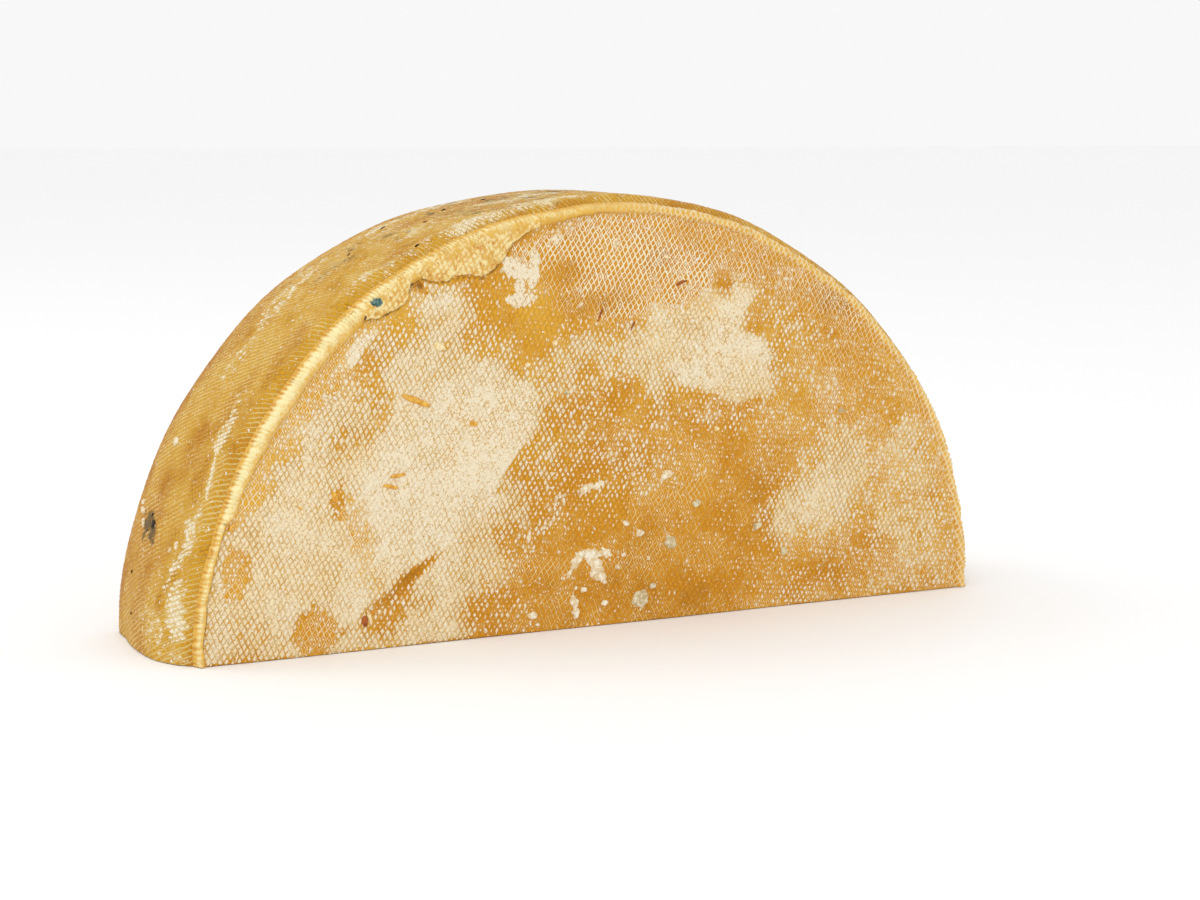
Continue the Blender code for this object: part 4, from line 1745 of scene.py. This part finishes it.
# Rows of bits: place, half sizes, turn, height and raggedness, in millimetres as the patches are
CRUST_BITS = (
    (-15, 23, 4.2, 1.7, 46, 0.35, 0.55), (-8.4, 25, 5.4, 2.4, 2, 0.42, 0.6),
    (-2.8, 24.8, 2.6, 1.5, -30, 0.35, 0.6), (-7.2, 21, 3.6, 3, -38, 0.45, 0.6),
    (-5.4, 17, 2.2, 1.9, -60, 0.35, 0.6), (-17.8, 19.4, 1.4, 0.9, 60, 0.3, 0.6),
    (-11, 48.2, 2.8, 1.2, 24, 0.35, 0.6), (-6.9, 49, 2.6, 1.6, 10, 0.4, 0.6),
    (-23.4, 44.6, 0.5, 2.2, -14, 0.4), (-21.2, 46.2, 1.6, 0.5, 24, 0.4),
    (-20.2, 44.2, 0.5, 1.6, 10, 0.4), (21.5, 51, 2.4, 1.7, 10), (4.8, 35, 1.3, 1.2, 0),
    (10.5, 31.2, 1.6, 1.5, 30), (1.5, 20, 0.9, 0.8, 0), (4, 24, 0.9, 0.7, 20),
    (-12, 13, 1.3, 0.9, 10), (-15.6, 9, 1.5, 2.4, 8), (-15, 5.2, 1.4, 1.6, -10),
    (-32, 5.6, 2, 1.4, 12), (-3.7, 15, 0.9, 0.8, 0), (-3.5, 7.6, 1.3, 1.1, 30),
    (-33.8, 33.2, 0.8, 2.2, -12), (-28, 36, 0.7, 0.6), (-22, 27, 0.6, 0.6),
    (-30, 2.4, 0.8, 0.6), (-8, 34, 0.5, 0.5), (14, 22, 0.8, 0.7), (-0.5, 57.5, 0.9, 0.6, 30),
    (27, 62, 0.8, 0.7), (-14.3, 111.6, 1.1, 0.8, 30),
)
GREY_CRUST_BITS = (
    (10.5, 7.6, 3.4, 3, 20, 0.4, 0.4), (23.5, 26.8, 2.4, 2.6, 0, 0.4, 0.4), (16, 12, 1.2, 1),
    (34, 40, 1.6, 1.2, 30), (-19.5, 82, 0.9, 0.8), (60, 30, 1.8, 1.3, 10),
    (72, 20, 1.4, 1.6, 50), (96, 70, 1.3, 1, 0),
)
STRAW_BITS = (
    (-83.9, 57.4, 3.3, 0.75, 6, 0.6, 0.2), (-86.6, 54, 3.4, 0.7, -12, 0.5, 0.3),
    (-78.2, 82.4, 4, 1.15, -18, 0.7, 0.3), (-74.6, 80.9, 2.8, 1, -24, 0.8, 0.3),
    (-106.8, 51.8, 1.1, 2.4, 26, 0.4, 0.4), (-119, 49, 0.8, 0.5, 0, 0.4),
    (-55.6, 73.2, 1.7, 1, -20, 0.6, 0.4), (-143.2, 44.4, 1.5, 0.7, 60, 0.5, 0.5),
)
CRUMB_BITS = (
    (-68.7, 99.5, 2, 1.4, -10, 0.9, 0.12), (-24.5, 99, 1, 1, 0, 0.8, 0.1),
    (-35, 92, 1, 0.9, 20, 0.8, 0.15), (-94, 10.6, 0.6, 2.6, 12, 0.7, 0.3),
    (42, 66, 1, 0.8, 0, 0.7, 0.2), (20, 127, 0.8, 0.6, 0, 0.5, 0.2),
)
CRACK_BITS = (
    (-95.9, 9.6, 1.3, 2.3, 10, 0.35, 0.3), (6.8, 103.6, 0.35, 1.8, -28, 0.2, 0.3),
    (-6.4, 107.8, 0.35, 2.9, -24, 0.2, 0.3), (26.5, 118, 2.6, 0.6, 20, 0.2, 0.4),
)
HEEL_CRUMB_BITS = (
    (66, 50, 2.2, 1.3, 60, 0.7, 0.3), (34.8, 19, 1.4, 0.8, 30), (41.5, 57, 1.8, 1, 70),
    (38, 53, 1.4, 0.7, 30), (44, 60, 0.9, 1.6, 10), (33, 22.5, 0.8, 0.5),
)
HEEL_SOOT_BITS = (
    (168.5, 48.5, 1.7, 0.35, 24, 0.2, 0.5), (160, 7, 0.9, 0.3, 10, 0.2, 0.5),
    (188, 38.5, 1.1, 0.3, 16, 0.2, 0.5), (38.6, 43.5, 1.9, 1.2, 50, 0.2, 0.9),
    (240, 30, 1, 0.3, 20, 0.1, 0.5), (41.4, 46.6, 0.5, 0.4, 0, 0.2, 0.6),
    (36, 47, 0.4, 0.6, 0, 0.2, 0.6), (206, 42, 1.3, 0.3, 12, 0.1, 0.6),
    (176, 30, 0.9, 0.3, 30, 0.1, 0.6), (150, 40, 0.8, 0.3, 20, 0.1, 0.6),
    (22, 52, 0.5, 0.4, 0, 0.2, 0.6), (10, 44, 0.4, 0.6, 0, 0.2, 0.6),
)


def all_bits() -> list[Bits]:
    """List the kinds of small bits that lie on the rind.

    Returns:
        The kinds.
    """
    crust = CrumbFinish("crust", tint(250, 246, 228), tint(222, 196, 148))
    grey = CrumbFinish("grey_crust", tint(234, 226, 196), tint(190, 164, 116))
    straw = CrumbFinish("straw", tint(244, 196, 90), tint(212, 148, 46), 0.5)
    crumb = CrumbFinish("crumb", tint(252, 240, 200), tint(236, 206, 140), 0.6)
    crack = CrumbFinish("dark_crack", tint(188, 102, 40), tint(138, 66, 24), 0.6)
    soot = CrumbFinish("soot", tint(70, 52, 32), tint(34, 26, 20))
    return [
        Bits("white_crusts", crust, CRUST_BITS, 201),
        Bits("grey_crusts", grey, GREY_CRUST_BITS, 341),
        Bits("straw_bits", straw, STRAW_BITS, 401),
        Bits("pale_crumbs", crumb, CRUMB_BITS, 461),
        Bits("dark_cracks", crack, CRACK_BITS, 521),
        Bits("heel_crumbs", crust, HEEL_CRUMB_BITS, 561, on_heel=True),
        Bits("heel_specks", soot, HEEL_SOOT_BITS, 601, on_heel=True),
    ]


@dataclass
class MouldTuft:
    """A small blue-green mould spot on the bead, where the flap starts."""

    wheel: Wheel
    angle: float = 51.3
    offset: float = -3.1 * MM
    size: float = 2.0 * MM
    height: float = 0.40 * MM
    rings: int = 10
    spokes: int = 48

    def build(self) -> bpy.types.Object:
        """Drape a frayed disc over the bead.

        Returns:
            The piece.
        """
        wheel = self.wheel
        ring = np.linspace(0.0, 1.0, self.rings + 1)[:, None]
        spoke = np.linspace(0.0, FULL_TURN, self.spokes, endpoint=False)[None, :]
        fray = cloudy(3.0 + 1.4 * np.cos(spoke), 3.0 + 1.4 * np.sin(spoke), 0.6, 641, 3)
        reach = self.size * ring * (1.0 + 0.65 * fray * ring)
        turn = math.radians(self.angle) + 0.8 * reach * np.cos(spoke) / wheel.radius
        offset = self.offset + 1.1 * reach * np.sin(spoke)
        bend = np.arccos(np.clip(-1.0 - 2.0 * offset / bead_width(turn), -1.0, 1.0))
        depth = -wheel.bead_proud * np.sin(bend) * 0.94 - self.height * (1.0 - 0.6 * ring ** 2)
        depth = np.maximum(depth, -wheel.bead_proud) + 0.25 * MM * smooth(ring, 0.8, 1.0)
        points = wheel.point(turn, offset, depth).reshape(-1, 3)
        faces = grid_faces(self.rings + 1, self.spokes, closed=True)
        piece = add_mesh("mould_tuft", points, faces)
        finish = CrumbFinish("blue_green_mould", tint(120, 148, 140), tint(40, 84, 84), 0.9)
        return attach(piece, finish.dress())


@dataclass
class Studio:
    """Pale floor, soft light and the camera at the photograph's angle.

    Angles are in degrees. Each lamp has a name, a place, a side in metres and a power in watts.
    """

    wheel: Wheel
    azimuth: float = -31.2
    elevation: float = 7.6
    roll: float = 0.65
    distance: float = 947.0 * MM
    target: tuple[float, float] = (-6.0 * MM, 61.3 * MM)
    sensor: float = 36.0
    focal: float = 2755.0 / 1200.0 * 36.0
    floor_half: float = 6.0
    world_light: float = 0.94
    lamps: tuple[tuple[str, Rgb, float, float], ...] = (
        ("key", (-1.1, -1.4, 1.6), 0.6, 8.0),
        ("fill", (1.6, -1.2, 0.9), 1.4, 1.0),
        ("rim", (-1.2, 0.9, 1.5), 0.9, 4.0),
    )

    def camera(self) -> None:
        """Aim the camera at the point of the front face that the photograph centres."""
        azimuth, elevation = math.radians(self.azimuth), math.radians(self.elevation)
        back = Vector((
            math.sin(azimuth) * math.cos(elevation),
            -math.cos(azimuth) * math.cos(elevation),
            math.sin(elevation),
        ))
        aim = Vector((self.wheel.middle + self.target[0], self.wheel.front, self.target[1]))
        data = bpy.data.cameras.new("view")
        data.lens = self.focal
        data.sensor_width = self.sensor
        data.clip_start = 0.05
        data.clip_end = 50.0
        camera = bpy.data.objects.new("view", data)
        roll = Matrix.Rotation(math.radians(self.roll), 3, "Z")
        turn = (-back).to_track_quat("-Z", "Y").to_matrix() @ roll
        camera.matrix_world = Matrix.Translation(aim + back * self.distance) @ turn.to_4x4()
        bpy.context.collection.objects.link(camera)
        bpy.context.scene.camera = camera

    def light(self, name: str, place: Rgb, size: float, power: float) -> None:
        """Hang a square soft light that looks at the cheese.

        Args:
            name: Name of the light.
            place: Where it hangs.
            size: Its side in metres.
            power: Its power in watts.
        """
        data = bpy.data.lights.new(name, "AREA")
        data.shape = "SQUARE"
        data.size = size
        data.energy = power
        lamp = bpy.data.objects.new(name, data)
        lamp.location = place
        aim = Vector((0.0, 0.0, 70.0 * MM)) - Vector(place)
        lamp.rotation_mode = "QUATERNION"
        lamp.rotation_quaternion = aim.to_track_quat("-Z", "Y")
        bpy.context.collection.objects.link(lamp)

    def build(self) -> None:
        """Build the floor, the world's light and the lamps."""
        half = self.floor_half
        corners = np.array([(-half, -half), (half, -half), (half, half), (-half, half)])
        # The floor lies a little below the cut, which it would flicker with
        points = np.column_stack([corners, np.full(4, -0.2 * MM)])
        floor = add_mesh("floor", points, np.array([[0, 1, 2, 3]]))
        finish = Graph("pale_floor").finish(tint(252, 252, 252), 0.6, {"Specular IOR Level": 0.1})
        floor.data.materials.append(finish)
        floor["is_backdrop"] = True
        world = bpy.data.worlds.new("studio")
        world.use_nodes = True
        background = world.node_tree.nodes["Background"]
        background.inputs["Color"].default_value = (1.0, 1.0, 1.0, 1.0)
        background.inputs["Strength"].default_value = self.world_light
        bpy.context.scene.world = world
        bpy.context.scene.view_settings.view_transform = "Standard"
        for lamp in self.lamps:
            self.light(*lamp)
        self.camera()


def main() -> None:
    """Build the pieces in order and report each."""
    logging.basicConfig(level=logging.INFO)
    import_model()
    low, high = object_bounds()
    wheel = Wheel(np.array(low), np.array(high))
    Studio(wheel).build()
    rind = Rind(wheel)
    pieces = [rind.front(), rind.heel(), rind.back()]
    pieces += [EdgeBead(wheel).build(), CutFace(wheel).build(), *TornFlap(wheel).build()]
    pieces.append(MouldTuft(wheel).build())
    pieces += [bits.build(wheel) for bits in all_bits()]
    for piece in pieces:
        mesh = piece.data
        LOG.info("%s: %d points, %d faces", piece.name, len(mesh.vertices), len(mesh.polygons))


if __name__ == "__main__":
    main()
